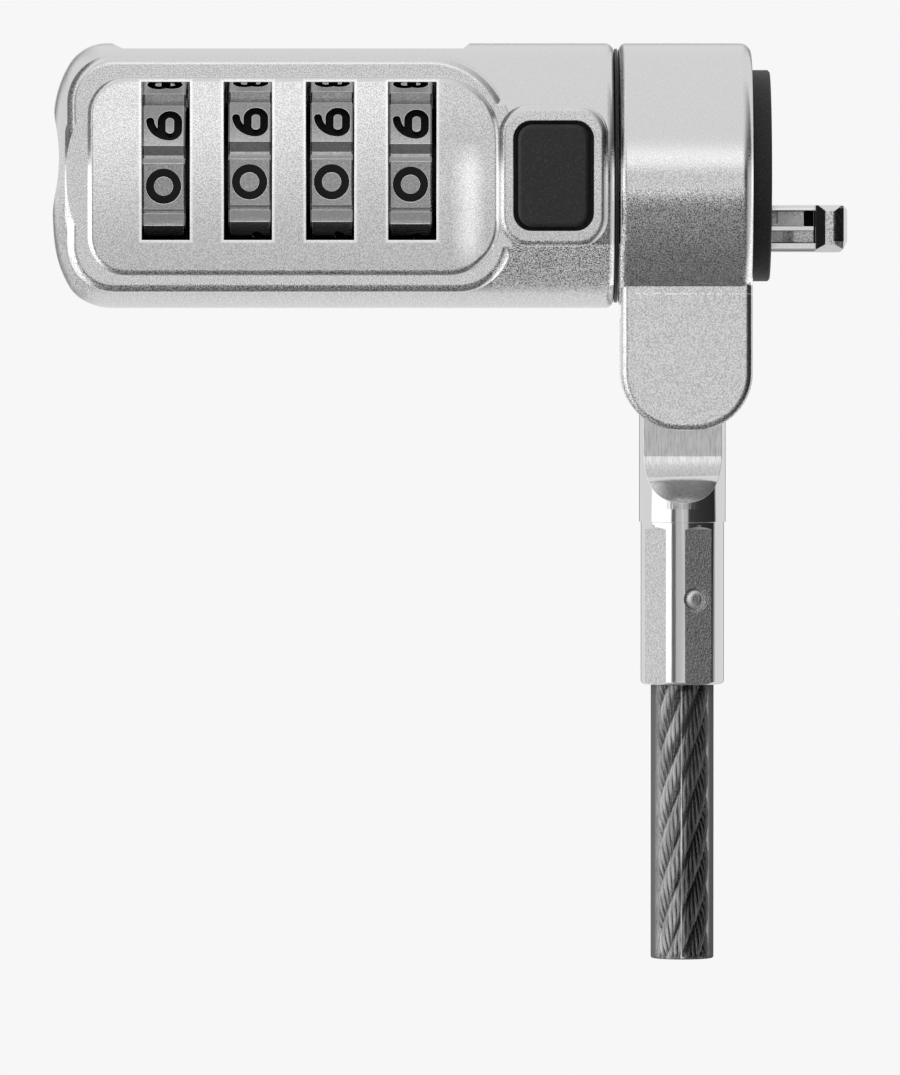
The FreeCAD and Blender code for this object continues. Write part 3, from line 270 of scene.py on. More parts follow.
def rim_highlight_mask(s, at):
    """1 on the rims of the four dial windows, where a painted highlight goes, else 0. Their outer edges are
    ragged.
    """
    whole_turns = 8 * DIAL_PITCH
    across = s.math("ADD", at.x, whole_turns - FIRST_DIAL + DIAL_PITCH / 2)
    across = s.math("SUBTRACT", s.math("MODULO", across, DIAL_PITCH), DIAL_PITCH / 2)
    beside = s.math("SUBTRACT", s.math("ABSOLUTE", across), WINDOW_HALF)
    from_middle = s.math("ABSOLUTE", s.math("SUBTRACT", at.z, (WINDOW_TOP + WINDOW_BOTTOM) / 2))
    past_end = s.math("SUBTRACT", from_middle, (WINDOW_TOP - WINDOW_BOTTOM) / 2)
    ragged = s.ramp(at.fleck, *EVEN, -0.07, 0.09)
    rim = s.below(s.math("ADD", s.math("MAXIMUM", beside, past_end), ragged), RIM)
    first, last = FIRST_DIAL - WINDOW_REACH, FIRST_DIAL + 3 * DIAL_PITCH + WINDOW_REACH
    return s.times(rim, s.between(at.x, first, last), s.below(at.y, PLATE_FACE - 0.1))


def on_bevelled_parts(s, at):
    """1 on the front of the raised parts, of the barrel's bare end and of the collar, else 0."""
    past_ledge = s.above(at.x, LEDGE_END)
    parts = s.math("MAXIMUM", s.below(at.y, LEDGE_FACE), past_ledge)
    lowest = s.blend(past_ledge, BEVEL_BOTTOM, BEVEL_BOTTOM_PAST_LEDGE)
    return s.times(parts, s.above(at.z, lowest), s.below(at.z, BEVEL_TOP),
                   s.below(at.ny, -0.1), s.above(at.x, DOME_END))


def bevel_light(s, at):
    """Painted highlight and painted shade on the bevels: how brightly they are made to shine (emission),
    and how much darker they are painted.

    Bevels that face left are painted darker in the upper half of the front (painted shade). Those that face
    right get a painted highlight in its lower half, as do those that face left at its left end.
    """
    uneven = s.math("ADD", at.z, s.ramp(at.fleck, *EVEN, -0.8, 0.8))
    low_half = s.ramp(uneven, 1.6, 0.2)
    to_right = s.times(s.ramp(at.nx, 0.30, 0.55), s.ramp(at.nx, 0.97, 0.90), low_half)
    to_left = s.times(s.ramp(at.nx, -0.25, -0.50), s.ramp(at.nz, -0.85, -0.60), low_half)
    to_left = s.times(to_left, s.below(at.x, LEFT_BEVELS))
    parts = on_bevelled_parts(s, at)
    # Painted highlight: how strongly the bevels glow.
    shine = s.times(s.math("MAXIMUM", to_right, to_left), parts)
    # Painted shade: how much darker the bevels are painted.
    dull = s.times(s.ramp(at.nx, -0.25, -0.50), s.left_of(low_half), parts)
    return shine, dull


def grain_tone(s, at, shade):
    """Grain shows most in the shade, and least on faces that look up. Faces that look down are painted
    darker (painted shade), and faces that look up a little lighter (painted light).
    """
    open_faces = s.ramp(at.fleck, 0.36, 0.60, 0.62, 0.96)
    looking_up = s.ramp(at.fleck, *EVEN, 0.79, 0.88)
    shaded = s.ramp(at.fleck, 0.36, 0.62, 0.18, 1.0)
    return s.blend(shade, s.blend(s.ramp(at.nz, 0.02, 0.20), open_faces, looking_up), shaded)


def painted_shine_below_button(s, at, shade):
    """Painted highlight: a faint emitted shine on the barrel's front below the button."""
    area = s.times(s.between(at.x, *BELOW_BUTTON_X), shade, s.between(at.z, *BELOW_BUTTON_Z))
    return s.times(area, s.ramp(at.y, -1.5, -4.5), s.ramp(at.fleck, 0.38, 0.62, 0.0, 0.34))


def painted_tongue_root_line(s, at):
    """Painted highlight: a faint emitted line across the root of the collar's tongue; the line is not
    modelled.
    """
    line = s.times(s.between(at.z, *SCRIBED_LINE_Z), s.above(at.x, SCRIBED_LINE_LEFT))
    return s.times(line, s.ramp(at.fleck, 0.4, 0.55, 0.0, 0.20))


def crowned_plate(s, at, normal, tone, glow):
    """The inner plate is very slightly crowned, and its window rims get a painted highlight (emission).

    The plate is painted darker towards its bottom, and its right end is painted darker above (painted
    shade), with a painted highlight run below.
    """
    facing = s.times(s.below(at.ny, -0.985), s.below(at.y, PLATE_FACE))
    start = s.ramp(at.x, -42.0, -24.0, -2.2, 0.0)
    lean_z = s.ramp(s.math("SUBTRACT", at.z, start), -2.4, 5.0, 0.000, 0.090)
    lean_x = s.ramp(at.x, -43.0, -17.0, -0.012, 0.012)
    lean = s.join(s.times(lean_x, facing), 0.0, s.times(lean_z, facing))
    normal = s.vector("NORMALIZE", s.vector("ADD", normal, lean))
    # Painted shade: the right end of the plate is darker above.
    painted_shade_right_end = s.times(s.ramp(at.x, -22.5, -20.5), s.ramp(at.z, -0.5, 2.5), facing)
    tone = s.times(tone, s.left_of(s.times(painted_shade_right_end, 0.22)))
    # Painted shade: the plate's face is darker towards its bottom.
    tone = s.times(tone, s.blend(facing, 1.0, s.ramp(at.z, -6.5, 0.0, 0.84, 0.98)))
    # Painted highlight: an emitted run low on the plate's right end.
    painted_highlight_run = s.times(s.ramp(at.x, -20.2, -19.2), s.ramp(at.x, -18.0, -18.8),
                         s.ramp(at.z, 2.2, 0.5), s.ramp(at.z, -6.0, -4.0), facing)
    glow = s.math("ADD", glow, s.times(painted_highlight_run, 0.28))
    # Painted highlight: emission on the window rims.
    return normal, tone, s.math("ADD", glow, s.times(rim_highlight_mask(s, at), 0.26))


def cast_satin(name="satin_nickel", grain_depth=0.009, crowned=False):
    """Blasted zinc casting with satin nickel plating: fine sparkling grain and polished edges. Faces that
    look down are painted darker (painted shade); painted highlights (emission) and painted shade lie on the
    bevels, with painted highlights below the button and along the line at the tongue's root.
    """
    s = Shader(name)
    where = s.place()
    grain = s.noise(where, GRAIN_SCALE, detail=3.0, roughness=0.62)
    rounded, _ = s.soft_edges(0.06)
    at = Spot(s, where, rounded)
    normal = s.bump(grain, grain_depth, 1.0, rounded)
    shine, dull = bevel_light(s, at)
    # Painted shade: faces that look down, and the bevels painted dull, take the darker grain tone.
    shade = s.times(s.math("MAXIMUM", s.ramp(at.nz, -0.02, -0.20), dull), s.ramp(at.nz, -0.88, -0.80))
    # Painted shade: the dull bevels are painted darker still.
    tone = s.times(grain_tone(s, at, shade), s.left_of(s.times(dull, 0.72)))
    # Painted light: emission on the bevels, below the button and along the line at the tongue's root.
    glow = s.math("ADD", s.times(shine, 0.45), painted_shine_below_button(s, at, shade))
    glow = s.math("ADD", glow, painted_tongue_root_line(s, at))
    if crowned:
        normal, tone, glow = crowned_plate(s, at, normal, tone, glow)
    s.set(base_color=s.join(tone, tone, tone), metallic=1.0, roughness=s.ramp(grain, *EVEN, 0.07, 0.13),
          normal=normal, emission_color=grey(1.0), emission_strength=glow)
    return s.material


def polished(name, level, roughness, wave=0.0):
    """Bright plated metal with faint polishing waviness and hairlines. Its edges are painted a little
    lighter (painted highlight).
    """
    s = Shader(name)
    where = s.place()
    hair = s.noise(s.stretch(where, 18.0, 18.0, 1.2), 1.0, detail=2.0)
    swell = s.noise(where, 0.8)
    height = s.math("ADD", s.times(hair, 0.15), s.times(swell, wave))
    rounded, edge = s.soft_edges(0.04)
    # Painted highlight: the edges are a little lighter.
    s.set(base_color=s.mix(edge, grey(level), grey(min(1.0, level * 1.15))), metallic=1.0,
          roughness=s.ramp(hair, *EVEN, roughness * 0.7, roughness * 1.3),
          normal=s.bump(height, 0.004, 0.6, rounded))
    return s.material


CHANNEL_Z = (-4.30, -2.18)  # the channel in the tip's neck
CHANNEL_FLOOR = 1.46       # half the depth of the neck
HEAD_LEFT = 2.87
HEAD_FRONT = -3.19         # the grainy strip at the front of the tip's head lies in front of this Y
END_BEVEL_X = (HEAD_LEFT + 1.1, HEAD_LEFT + 1.78)
END_BEVEL_Z = (-4.15, -2.05)


def tip_nickel():
    """The hooked tip: polished all over, with a grainy end strip. Its channel and a bevel at its end are
    painted near black (painted shade), and its edges are painted white and glow (painted highlight).
    """
    s = Shader("tip_nickel")
    where = s.place()
    x, y, z = s.split(where)
    grain = s.noise(where, 9.0, detail=3.0, roughness=0.65)
    rounded, edge = s.soft_edges(0.05)
    _, _, up = s.split(rounded)
    in_channel = s.times(s.between(z, *CHANNEL_Z), s.between(y, 0.02 - CHANNEL_FLOOR, CHANNEL_FLOOR),
                         s.below(x, HEAD_LEFT + 0.02))
    end_bevel = s.times(s.between(x, *END_BEVEL_X), s.below(up, 0.3), s.between(z, *END_BEVEL_Z))
    # Painted shade: the channel and the end bevel are near black.
    dark = s.math("MAXIMUM", in_channel, s.times(end_bevel, s.ramp(grain, 0.35, 0.65, 1.0, 0.85)))
    tone = s.blend(s.below(y, HEAD_FRONT), 0.88, s.ramp(grain, 0.35, 0.65, 0.35, 0.98))
    # Painted highlight: the edges are painted white, and glow below.
    level = s.mix(edge, s.join(tone, tone, tone), grey(1.0))
    s.set(base_color=s.mix(dark, level, grey(0.015)), metallic=1.0,
          roughness=s.blend(in_channel, 0.12, 0.5), normal=s.bump(grain, 0.012, 1.0, rounded),
          emission_color=grey(1.0), emission_strength=s.times(edge, 0.25))
    return s.material


CRIMP_DIRECTIONS = (-44, 23, 136, 203)    # facets of the crimp, degrees from the front towards +X
CRIMP_TOP = -22.1
CREASE = -17.78            # where the blade's flat turns into its ramp
RAMP_END = -21.2


def on_crimp_facets(s, z, flat):
    """1 on the pressed facets of the crimp, else 0."""
    pressed = 0.0
    for degrees in CRIMP_DIRECTIONS:
        angle = math.radians(degrees)
        along = s.vector("DOT_PRODUCT", flat, (math.sin(angle), -math.cos(angle), 0))
        pressed = s.math("MAXIMUM", pressed, s.above(along, 0.9996))
    return s.times(pressed, s.below(z, CRIMP_TOP))


def crimped():
    """The ferrule: polished, with grainy crimp facets, a brushed blade and a dull ramp below its crease. A
    faint emitted line just below the crease is a painted highlight, and the edges are painted lighter
    (painted highlight).
    """
    s = Shader("bright_nickel_crimped")
    where = s.place()
    _, _, z = s.split(where)
    flat = s.node("ShaderNodeNewGeometry").outputs["True Normal"]
    _, ahead, up = s.split(flat)
    pressed = on_crimp_facets(s, z, flat)
    milled = s.times(s.above(s.math("ABSOLUTE", ahead), 0.93), s.above(z, CRIMP_TOP + 1.0))
    ramp_face = s.times(s.below(up, -0.04), s.between(z, RAMP_END, CREASE), s.below(ahead, -0.1))
    # Painted highlight: the ramp just below the crease, made to glow faintly.
    crease = s.times(ramp_face, s.above(z, CREASE - 0.5))
    grain = s.noise(where, 8.0, detail=3.0, roughness=0.65)
    hair = s.noise(s.stretch(where, 14.0, 14.0, 0.8), 1.0, detail=2.0)
    rounded, edge = s.soft_edges(0.05)
    grainy = s.bump(grain, 0.065, 1.0, rounded)
    brushed = s.bump(hair, 0.012, 1.0, rounded)
    normal = s.mix(pressed, s.mix(milled, s.bump(hair, 0.0015, 0.6, rounded), brushed), grainy)
    tone = s.blend(milled, 0.86, s.ramp(hair, *EVEN, 0.62, 0.84))
    tone = s.blend(pressed, tone, s.ramp(grain, *EVEN, 0.44, 0.76))
    tone = s.blend(ramp_face, tone, s.ramp(hair, *EVEN, 0.52, 0.66))
    roughness = s.blend(ramp_face, s.blend(pressed, s.blend(milled, 0.06, 0.18), 0.20), 0.55)
    # Painted highlight: the edges are painted lighter.
    s.set(base_color=s.mix(edge, s.join(tone, tone, tone), grey(0.95)), metallic=1.0,
          roughness=roughness, normal=normal, emission_color=grey(1.0),
          emission_strength=s.times(crease, s.ramp(hair, *EVEN, 0.30, 0.46)))
    return s.material


DIAL_TURN = (6.0, 3.5, 3.5, 4.9)    # degrees each dial sits past its '0'
DIAL_STEP = 36.0                    # degrees from numeral to numeral
DIAL_FLAT = 6.30                    # centre to numeral flat
FLAT_HALF_ANGLE = 12.6
NUMERAL_DEEPEST = 0.6               # the fill lies between these depths below its flat
NUMERAL_SHALLOWEST = 0.02


def numeral_fill(s, x, y, z, number):
    """1 inside the engraved numerals of a dial, else 0."""
    low, high = in_mm(f"dial_{number}")
    middle, half = (low.x + high.x) / 2, (high.x - low.x) / 2
    turn = s.math("DEGREES", s.math("ARCTAN2", z, s.times(y, -1.0)))
    turn = s.math("ADD", turn, DIAL_TURN[number - 1] + DIAL_STEP / 2 + 360.0)
    off = s.math("SUBTRACT", s.math("MODULO", turn, DIAL_STEP), DIAL_STEP / 2)
    depth = s.times(s.from_centre(y, z), s.math("COSINE", s.math("RADIANS", off)))
    on_flat = s.below(s.math("ABSOLUTE", off), FLAT_HALF_ANGLE)
    inside = s.between(depth, DIAL_FLAT - NUMERAL_DEEPEST, DIAL_FLAT - NUMERAL_SHALLOWEST)
    within = s.below(s.math("ABSOLUTE", s.math("SUBTRACT", x, middle)), half - 0.12)
    return s.times(on_flat, inside, within)


def numeral_dial(number):
    """Polished dial whose engraved numerals are filled black.

    Faces that look up get painted light (emission) in place of light from the window's walls, and faces
    that look down are painted darker, darkest at the bottom (painted shade). The rims get a painted glint,
    and the edges are painted lighter (painted highlight).
    """
    s = Shader(f"dial_nickel_{number}")
    where = s.place()
    x, y, z = s.split(where)
    ink = numeral_fill(s, x, y, z, number)
    rub = s.noise(where, 9.0, detail=3.0, roughness=0.7)
    hair = s.noise(s.stretch(where, 3.0, 16.0, 16.0), 1.0, detail=2.0)
    rounded, edge = s.soft_edges(0.06)
    side, _, up = s.split(rounded)
    # Painted shade: faces that look down are darker, darkest at the bottom.
    dim_middle, dim_bottom = s.ramp(up, -0.62, -0.35, 0.55, 1.0), s.ramp(up, -0.62, -0.35, 0.16, 1.0)
    tone = s.times(s.ramp(rub, *EVEN, 0.28, 0.54), s.blend(s.ramp(z, -1.6, -3.2), dim_middle, dim_bottom))
    # Painted highlight: the edges are painted lighter.
    metal = s.mix(edge, s.join(tone, tone, tone), grey(0.95))
    # Painted light: emission on faces that look up, and a painted glint on the rims.
    painted_wall_light = s.times(s.ramp(up, 0.15, 0.55, 0.0, 0.20), s.ramp(rub, *EVEN, 0.8, 1.2))
    glint = s.times(edge, s.ramp(s.math("ABSOLUTE", side), 0.2, 0.5, 0.28, 0.55), s.ramp(z, -3.4, -2.6))
    s.set(base_color=s.mix(ink, metal, grey(0.006)), metallic=s.left_of(ink), specular_ior_level=0.2,
          roughness=s.blend(ink, s.ramp(hair, *EVEN, 0.14, 0.26), 0.18), emission_color=grey(1.0),
          emission_strength=s.times(s.math("ADD", painted_wall_light, glint), s.left_of(ink)),
          normal=s.bump(s.math("ADD", hair, rub), 0.014, 0.8, rounded))
    return s.material


LINE_INSET = 0.26          # the painted highlight line on the button lies this far inside its outline
LINE_WIDTH = 0.07
BUTTON_CORNER = 1.3


def highlight_line_mask(s, where, node):
    """1 on a thin line that follows the outline of a rounded front face, else 0; a painted highlight goes
    there.
    """
    x, _, z = s.split(where)
    low, high = in_mm(node)
    out_x = s.math("ABSOLUTE", s.math("SUBTRACT", x, (low.x + high.x) / 2))
    out_z = s.math("ABSOLUTE", s.math("SUBTRACT", z, (low.z + high.z) / 2))
    past_x = s.math("SUBTRACT", out_x, (high.x - low.x) / 2 - BUTTON_CORNER)
    past_z = s.math("SUBTRACT", out_z, (high.z - low.z) / 2 - BUTTON_CORNER)
    far = s.from_centre(s.math("MAXIMUM", past_x, 0.0), s.math("MAXIMUM", past_z, 0.0))
    far = s.math("ADD", far, s.math("MINIMUM", s.math("MAXIMUM", past_x, past_z), 0.0))
    return s.between(s.math("SUBTRACT", far, BUTTON_CORNER), -LINE_INSET - LINE_WIDTH, -LINE_INSET)


def soft_black(name, level, grain_scale, grain_depth, roughness, edge_level, lined=None):
    """Moulded black plastic or rubber: fine grain and dust, with rounded edges painted lighter (painted
    highlight). A lined face also gets a thin painted highlight line inside its outline.
    """
    s = Shader(name)
    where = s.place()
    grain = s.noise(where, grain_scale, detail=3.0, roughness=0.65)
    dust = s.noise(where, 14.0, detail=1.0)
    rounded, edge = s.soft_edges(0.10)
    base = s.mix(s.ramp(dust, 0.58, 0.74), grey(level), grey(level * 3.2))
    if lined:
        # Painted highlight: a thin lighter line inside the face's outline.
        base = s.mix(highlight_line_mask(s, where, lined), base, grey(level * 2.6))
    # Painted highlight: the edges are painted lighter.
    s.set(base_color=s.mix(edge, base, grey(edge_level)),
          roughness=s.ramp(grain, *EVEN, roughness - 0.06, roughness + 0.06),
          specular_ior_level=0.35, normal=s.bump(grain, grain_depth, 0.8, rounded))
    return s.material


def machined(name, color, roughness):
    """Turned or milled metal with tool lines and slight tarnish."""
    s = Shader(name)
    where = s.place()
    lines = s.noise(s.stretch(where, 22.0, 2.0, 2.0), 1.0, detail=2.0)
    stain = s.noise(where, 0.9, detail=3.0)
    dark = tuple(channel * 0.80 for channel in color[:3]) + (1.0,)
    rounded, _ = s.soft_edges(0.05)
    s.set(base_color=s.mix(s.ramp(stain, 0.35, 0.75), color, dark), metallic=1.0,
          roughness=s.ramp(lines, *EVEN, roughness - 0.05, roughness + 0.08),
          normal=s.bump(lines, 0.006, 0.6, rounded))
    return s.material


def rope_wire():
    """Drawn galvanised wire, greyed with grease, and painted darker on the rope's right (painted shade)."""
    s = Shader("rope_steel")
    where = s.place()
    x, _, _ = s.split(where)
    low, high = in_mm("cable_jacket")
    grease = s.noise(s.stretch(where, 2.0, 2.0, 0.5), 1.0, detail=3.0)
    draw = s.noise(s.stretch(where, 12.0, 12.0, 0.8), 1.0)
    clean = s.ramp(grease, 0.35, 0.7, 0.98, 0.52)
    # Painted shade: darker towards the rope's right.
    shaded = s.ramp(s.math("SUBTRACT", x, (low.x + high.x) / 2), -0.45, 0.35, 1.0, 0.20)
    tone = s.times(clean, shaded)
    s.set(base_color=s.join(tone, tone, tone), metallic=1.0,
          roughness=s.ramp(draw, *EVEN, 0.24, 0.36), normal=s.bump(draw, 0.003, 0.5))
    return s.material


BORE_SIDE = 1.75           # points nearer the cable's axis than this belong to the jacket's bore
THIN_GLOSS = 0.05          # most that the gloss adds, away from the front line
FRONT_LINE_X = -0.09       # from the cable's axis to the painted highlight (a fixed line of stronger gloss) down its front


def smoke_vinyl():
    """Translucent smoke jacket in close contact with the rope.

    The outer skin bends light a little, so the rope looks wider than it is. It turns milky grey at
    grazing angles and has a thin gloss, with a painted highlight down its front. The bore lets light
    straight through.
    """
    s = Shader("cable_jacket")
    where = s.place()
    x, y, _ = s.split(where)
    low, high = in_mm("cable_jacket")
    off_axis = s.math("SUBTRACT", x, (low.x + high.x) / 2)
    skin_side = s.above(s.from_centre(off_axis, y), BORE_SIDE)
    streak = s.noise(s.stretch(where, 5.0, 5.0, 0.5), 1.0, detail=2.0)
    tint = s.ramp(streak, *EVEN, 0.66, 0.86)
    bent = s.node("ShaderNodeBsdfRefraction")
    bent.inputs["IOR"].default_value = 1.16
    bent.inputs["Roughness"].default_value = 0.07
    s.feed(bent.inputs["Color"], s.join(tint, tint, tint))
    milky = s.node("ShaderNodeBsdfDiffuse")
    milky.inputs[0].default_value = (0.150, 0.140, 0.144, 1)
    grazing = s.node("ShaderNodeLayerWeight")
    grazing.inputs["Blend"].default_value = 0.5
    gloss = s.node("ShaderNodeBsdfGlossy")
    gloss.inputs["Roughness"].default_value = 0.06
    s.feed(gloss.inputs["Normal"], s.bump(streak, 0.006, 0.5))
    fresnel = s.node("ShaderNodeFresnel")
    fresnel.inputs["IOR"].default_value = 1.45
    # Painted highlight: a fixed line of stronger gloss down the jacket's front.
    front_line = s.ramp(s.math("ABSOLUTE", s.math("SUBTRACT", off_axis, FRONT_LINE_X)), 0.055, 0.02)
    front_line = s.times(front_line, s.ramp(streak, 0.35, 0.6, 0.25, 0.75))
    glossy = s.math("MAXIMUM", s.math("MINIMUM", fresnel.outputs[0], THIN_GLOSS), front_line)
    at_rim = s.ramp(grazing.outputs["Facing"], 0.30, 0.52, 0.03, 0.97)
    body = s.layer(at_rim, bent.outputs[0], milky.outputs[0])
    skin = s.layer(glossy, body, gloss.outputs[0])
    clear = s.node("ShaderNodeBsdfTransparent")
    s.tree.links.new(s.layer(skin_side, clear.outputs[0], skin), s.out.inputs[0])
    return s.material


def dress(material, *names):
    """Gives CAD nodes a material."""
    for name in names:
        mesh = nodes[name].data
        mesh.materials.clear()
        mesh.materials.append(material)


# ---------------------------------------------------------------- pieces built here

def piece(name, points, faces, material, body):
    """A smooth mesh from points in millimetres, riding on a body."""
    mesh = bpy.data.meshes.new(name)
    mesh.from_pydata([Vector(point) * MM for point in points], [], faces)
    mesh.validate()
    mesh.shade_smooth()
    mesh.materials.append(material)
    obj = bpy.data.objects.new(name, mesh)
    bpy.context.scene.collection.objects.link(obj)
    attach(obj, body)
    return obj


def tube(points, faces, path, radius, sides=6):
    """Adds a closed round tube along a path of Vectors to points and faces."""
    first = len(points)
    for index, centre in enumerate(path):
        ahead = path[min(index + 1, len(path) - 1)] - path[max(index - 1, 0)]
        side = ahead.cross(Vector((0, 1, 0))).normalized()
        up = side.cross(ahead).normalized()
        for corner in range(sides):
            angle = math.tau * corner / sides
            points.append(centre + (side * math.cos(angle) + up * math.sin(angle)) * radius)
    for index in range(len(path) - 1):
        for corner in range(sides):
            here, after = first + index * sides + corner, first + index * sides + (corner + 1) % sides
            faces.append((here, after, after + sides, here + sides))
    faces.append(tuple(first + corner for corner in reversed(range(sides))))
    last = first + (len(path) - 1) * sides
    faces.append(tuple(last + corner for corner in range(sides)))


ROPE_LAY = 17.0            # one turn of the rope
STRANDS = 6
STRAND_CIRCLE = 1.0        # rope axis to strand axis
WIRE_CIRCLE = 0.335        # strand axis to wire axis
WIRES = 8
CORE_RADIUS = 0.20         # the wire in the middle of each strand
WIRE_RADIUS = 0.122
ROPE_STEP = 0.30           # along the rope, between rings of points
CUT_BACK = 0.05            # the strands end this far above the CAD rope's cut


def wire_rope(material):
    """Six strands of eight wires round a core strand.

    The wires are laid against the strands, so they run almost straight.
    """
    low, high = in_mm("wire_rope")
    axis_x = (low.x + high.x) / 2
    rope_turn = math.tau / ROPE_LAY
    wire_turn = -rope_turn * STRAND_CIRCLE / WIRE_CIRCLE
    count = int((high.z - low.z) / ROPE_STEP)
    bottom = low.z + CUT_BACK
    heights = [bottom + (high.z - bottom) * index / count for index in range(count + 1)]
    points, faces = [], []

    def wire(circle, phase, offset, start, radius):
        path = []
        for z in heights:
            lay = phase + rope_turn * (z - low.z)
            own = start + wire_turn * (z - low.z)
            path.append(Vector((axis_x + circle * math.cos(lay) + offset * math.cos(own),
                                circle * math.sin(lay) + offset * math.sin(own), z)))
        tube(points, faces, path, radius)

    def strand(circle, phase):
        wire(circle, phase, 0.0, 0.0, CORE_RADIUS)
        for number in range(WIRES):
            wire(circle, phase, WIRE_CIRCLE, phase + math.tau * number / WIRES, WIRE_RADIUS)

    for number in range(STRANDS):
        strand(STRAND_CIRCLE, math.tau * number / STRANDS)
    strand(0.0, 0.0)
    rope = piece("stranded_rope", points, faces, material, "cable")
    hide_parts("wire_rope")


BORE_RADIUS = 1.50
ROLL = 0.12                # radius of the jacket's rolled edge
ROLL_STEPS = 4
ROUND_STEPS = 96


def jacket(material):
    """Extruded tube with its cut edges slightly rolled."""
    low, high = in_mm("cable_jacket")
    axis_x = (low.x + high.x) / 2
    outer = (high.x - low.x) / 2
    profile = [(BORE_RADIUS, high.z), (BORE_RADIUS, low.z + ROLL / 2), (BORE_RADIUS + ROLL / 2, low.z),
               (outer - ROLL, low.z)]
    for step in range(1, ROLL_STEPS + 1):
        angle = math.pi / 2 * step / ROLL_STEPS
        profile.append((outer - ROLL + ROLL * math.sin(angle), low.z + ROLL - ROLL * math.cos(angle)))
    profile += [(outer, high.z - ROLL / 2), (outer - ROLL / 2, high.z)]
    points, faces = [], []
    for radius, z in profile:
        for step in range(ROUND_STEPS):
            angle = math.tau * step / ROUND_STEPS
            points.append((axis_x + radius * math.cos(angle), radius * math.sin(angle), z))
    for ring in range(len(profile)):
        here, above = ring * ROUND_STEPS, ((ring + 1) % len(profile)) * ROUND_STEPS
        for step in range(ROUND_STEPS):
            after = (step + 1) % ROUND_STEPS
            faces.append((here + after, above + after, above + step, here + step))
    tube_piece = piece("smoke_jacket", points, faces, material, "cable")
    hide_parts("cable_jacket")


SPRING_WIRE = 0.20
SPRING_TURNS = 4
SPRING_STEPS = 240


def spring(material):
    """The carriage spring, as a coil of wire."""
    low, high = in_mm("carriage_spring")
    length = high.x - low.x
    mean = (high.z - low.z) / 2 - SPRING_WIRE
    path = []
    for index in range(SPRING_STEPS + 1):
        share = index / SPRING_STEPS
        angle = math.tau * SPRING_TURNS * share
        x = low.x + SPRING_WIRE + (length - 2 * SPRING_WIRE) * share
        path.append(Vector((x, mean * math.cos(angle), mean * math.sin(angle))))
    points, faces = [], []
    tube(points, faces, path, SPRING_WIRE, sides=10)
    coil = piece("coil_spring", points, faces, material, "barrel")
    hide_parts("carriage_spring")
    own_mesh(coil)


# ---------------------------------------------------------------- studio

PALE = 0.93                # backdrop level, as shown
# Studio brightness by height: (degrees up from straight ahead of the dials, level).
BY_HEIGHT = ((-180, 1.10), (-176, 1.10), (-172, 0.82), (-160, 0.75), (-122, 0.72), (-112, 0.26),
             (-78, 0.22), (-26, 0.36), (-20, 0.42), (-15, 0.95), (-7, 0.95), (-4, 0.70), (3, 0.70),
             (7, 1.14), (18, 1.20), (24, 0.86), (30, 0.76), (160, 0.76), (164, 0.48), (172, 0.48),
             (175, 1.10), (180, 1.10))
# Studio brightness across: (degrees towards +X from straight ahead of the dials, level).
ACROSS = ((-180, 1.10), (-174, 1.10), (-170, 0.15), (-161, 0.15), (-157, 0.74), (-94, 0.74),
          (-89, 1.25), (-32, 1.20), (-29, 0.12), (-20, 0.16), (-17, 0.50), (12, 0.52), (17, 0.04),
          (96, 0.02), (103, 0.74), (158, 0.74), (162, 0.10), (171, 0.10), (175, 1.10), (180, 1.10))
SIDEWAYS_BIAS = 0.0008     # keeps reflections that go straight ahead on the height scale


def studio():
    """Soft panels and dark flags all round, seen in reflections.

    The camera itself sees an even pale backdrop.
    """
    world = bpy.data.worlds.new("studio")
    bpy.context.scene.world = world
    world.use_nodes = True
    tree = world.node_tree
    background = tree.nodes["Background"]
    coords = tree.nodes.new("ShaderNodeTexCoord")
    parts = tree.nodes.new("ShaderNodeSeparateXYZ")
    tree.links.new(coords.outputs["Generated"], parts.inputs[0])

    def calc(operation, a, b=None):
        made = tree.nodes.new("ShaderNodeMath")
        made.operation = operation
        for socket, value in zip(made.inputs, (a, b)):
            if isinstance(value, bpy.types.NodeSocket):
                tree.links.new(value, socket)
            elif value is not None:
                socket.default_value = value
        return made.outputs[0]

    def level(angle, stops):
        ramp = tree.nodes.new("ShaderNodeValToRGB")
        share = calc("ADD", calc("DIVIDE", angle, math.tau), 0.5)
        tree.links.new(share, ramp.inputs[0])
        items = ramp.color_ramp.elements
        for index, (degrees, value) in enumerate(stops):
            spot = (degrees + 180) / 360
            item = items[index] if index < 2 else items.new(spot)
            item.position = spot
            item.color = grey(value)
        return ramp.outputs[0]

    x, y, z = parts.outputs
    ahead = calc("MULTIPLY", y, -1.0)
    high = level(calc("ARCTAN2", z, ahead), BY_HEIGHT)
    wide = level(calc("ARCTAN2", x, ahead), ACROSS)
    x_sq, z_sq = calc("POWER", x, 2.0), calc("POWER", z, 2.0)
    sideways = calc("DIVIDE", x_sq, calc("ADD", calc("ADD", x_sq, z_sq), SIDEWAYS_BIAS))
    seen = tree.nodes.new("ShaderNodeMix")
    seen.data_type = "RGBA"
    tree.links.new(sideways, seen.inputs["Factor"])
    tree.links.new(high, seen.inputs["A"])
    tree.links.new(wide, seen.inputs["B"])
    path = tree.nodes.new("ShaderNodeLightPath")
    final = tree.nodes.new("ShaderNodeMix")
    final.data_type = "RGBA"
    tree.links.new(path.outputs["Is Camera Ray"], final.inputs["Factor"])
    tree.links.new(seen.outputs["Result"], final.inputs["A"])
    final.inputs["B"].default_value = grey(PALE)
    tree.links.new(final.outputs["Result"], background.inputs["Color"])


FLOOR_HALF = 3.0           # half the floor's width, in metres
FLOOR_GAP = 12             # from the object's lowest point down to the floor


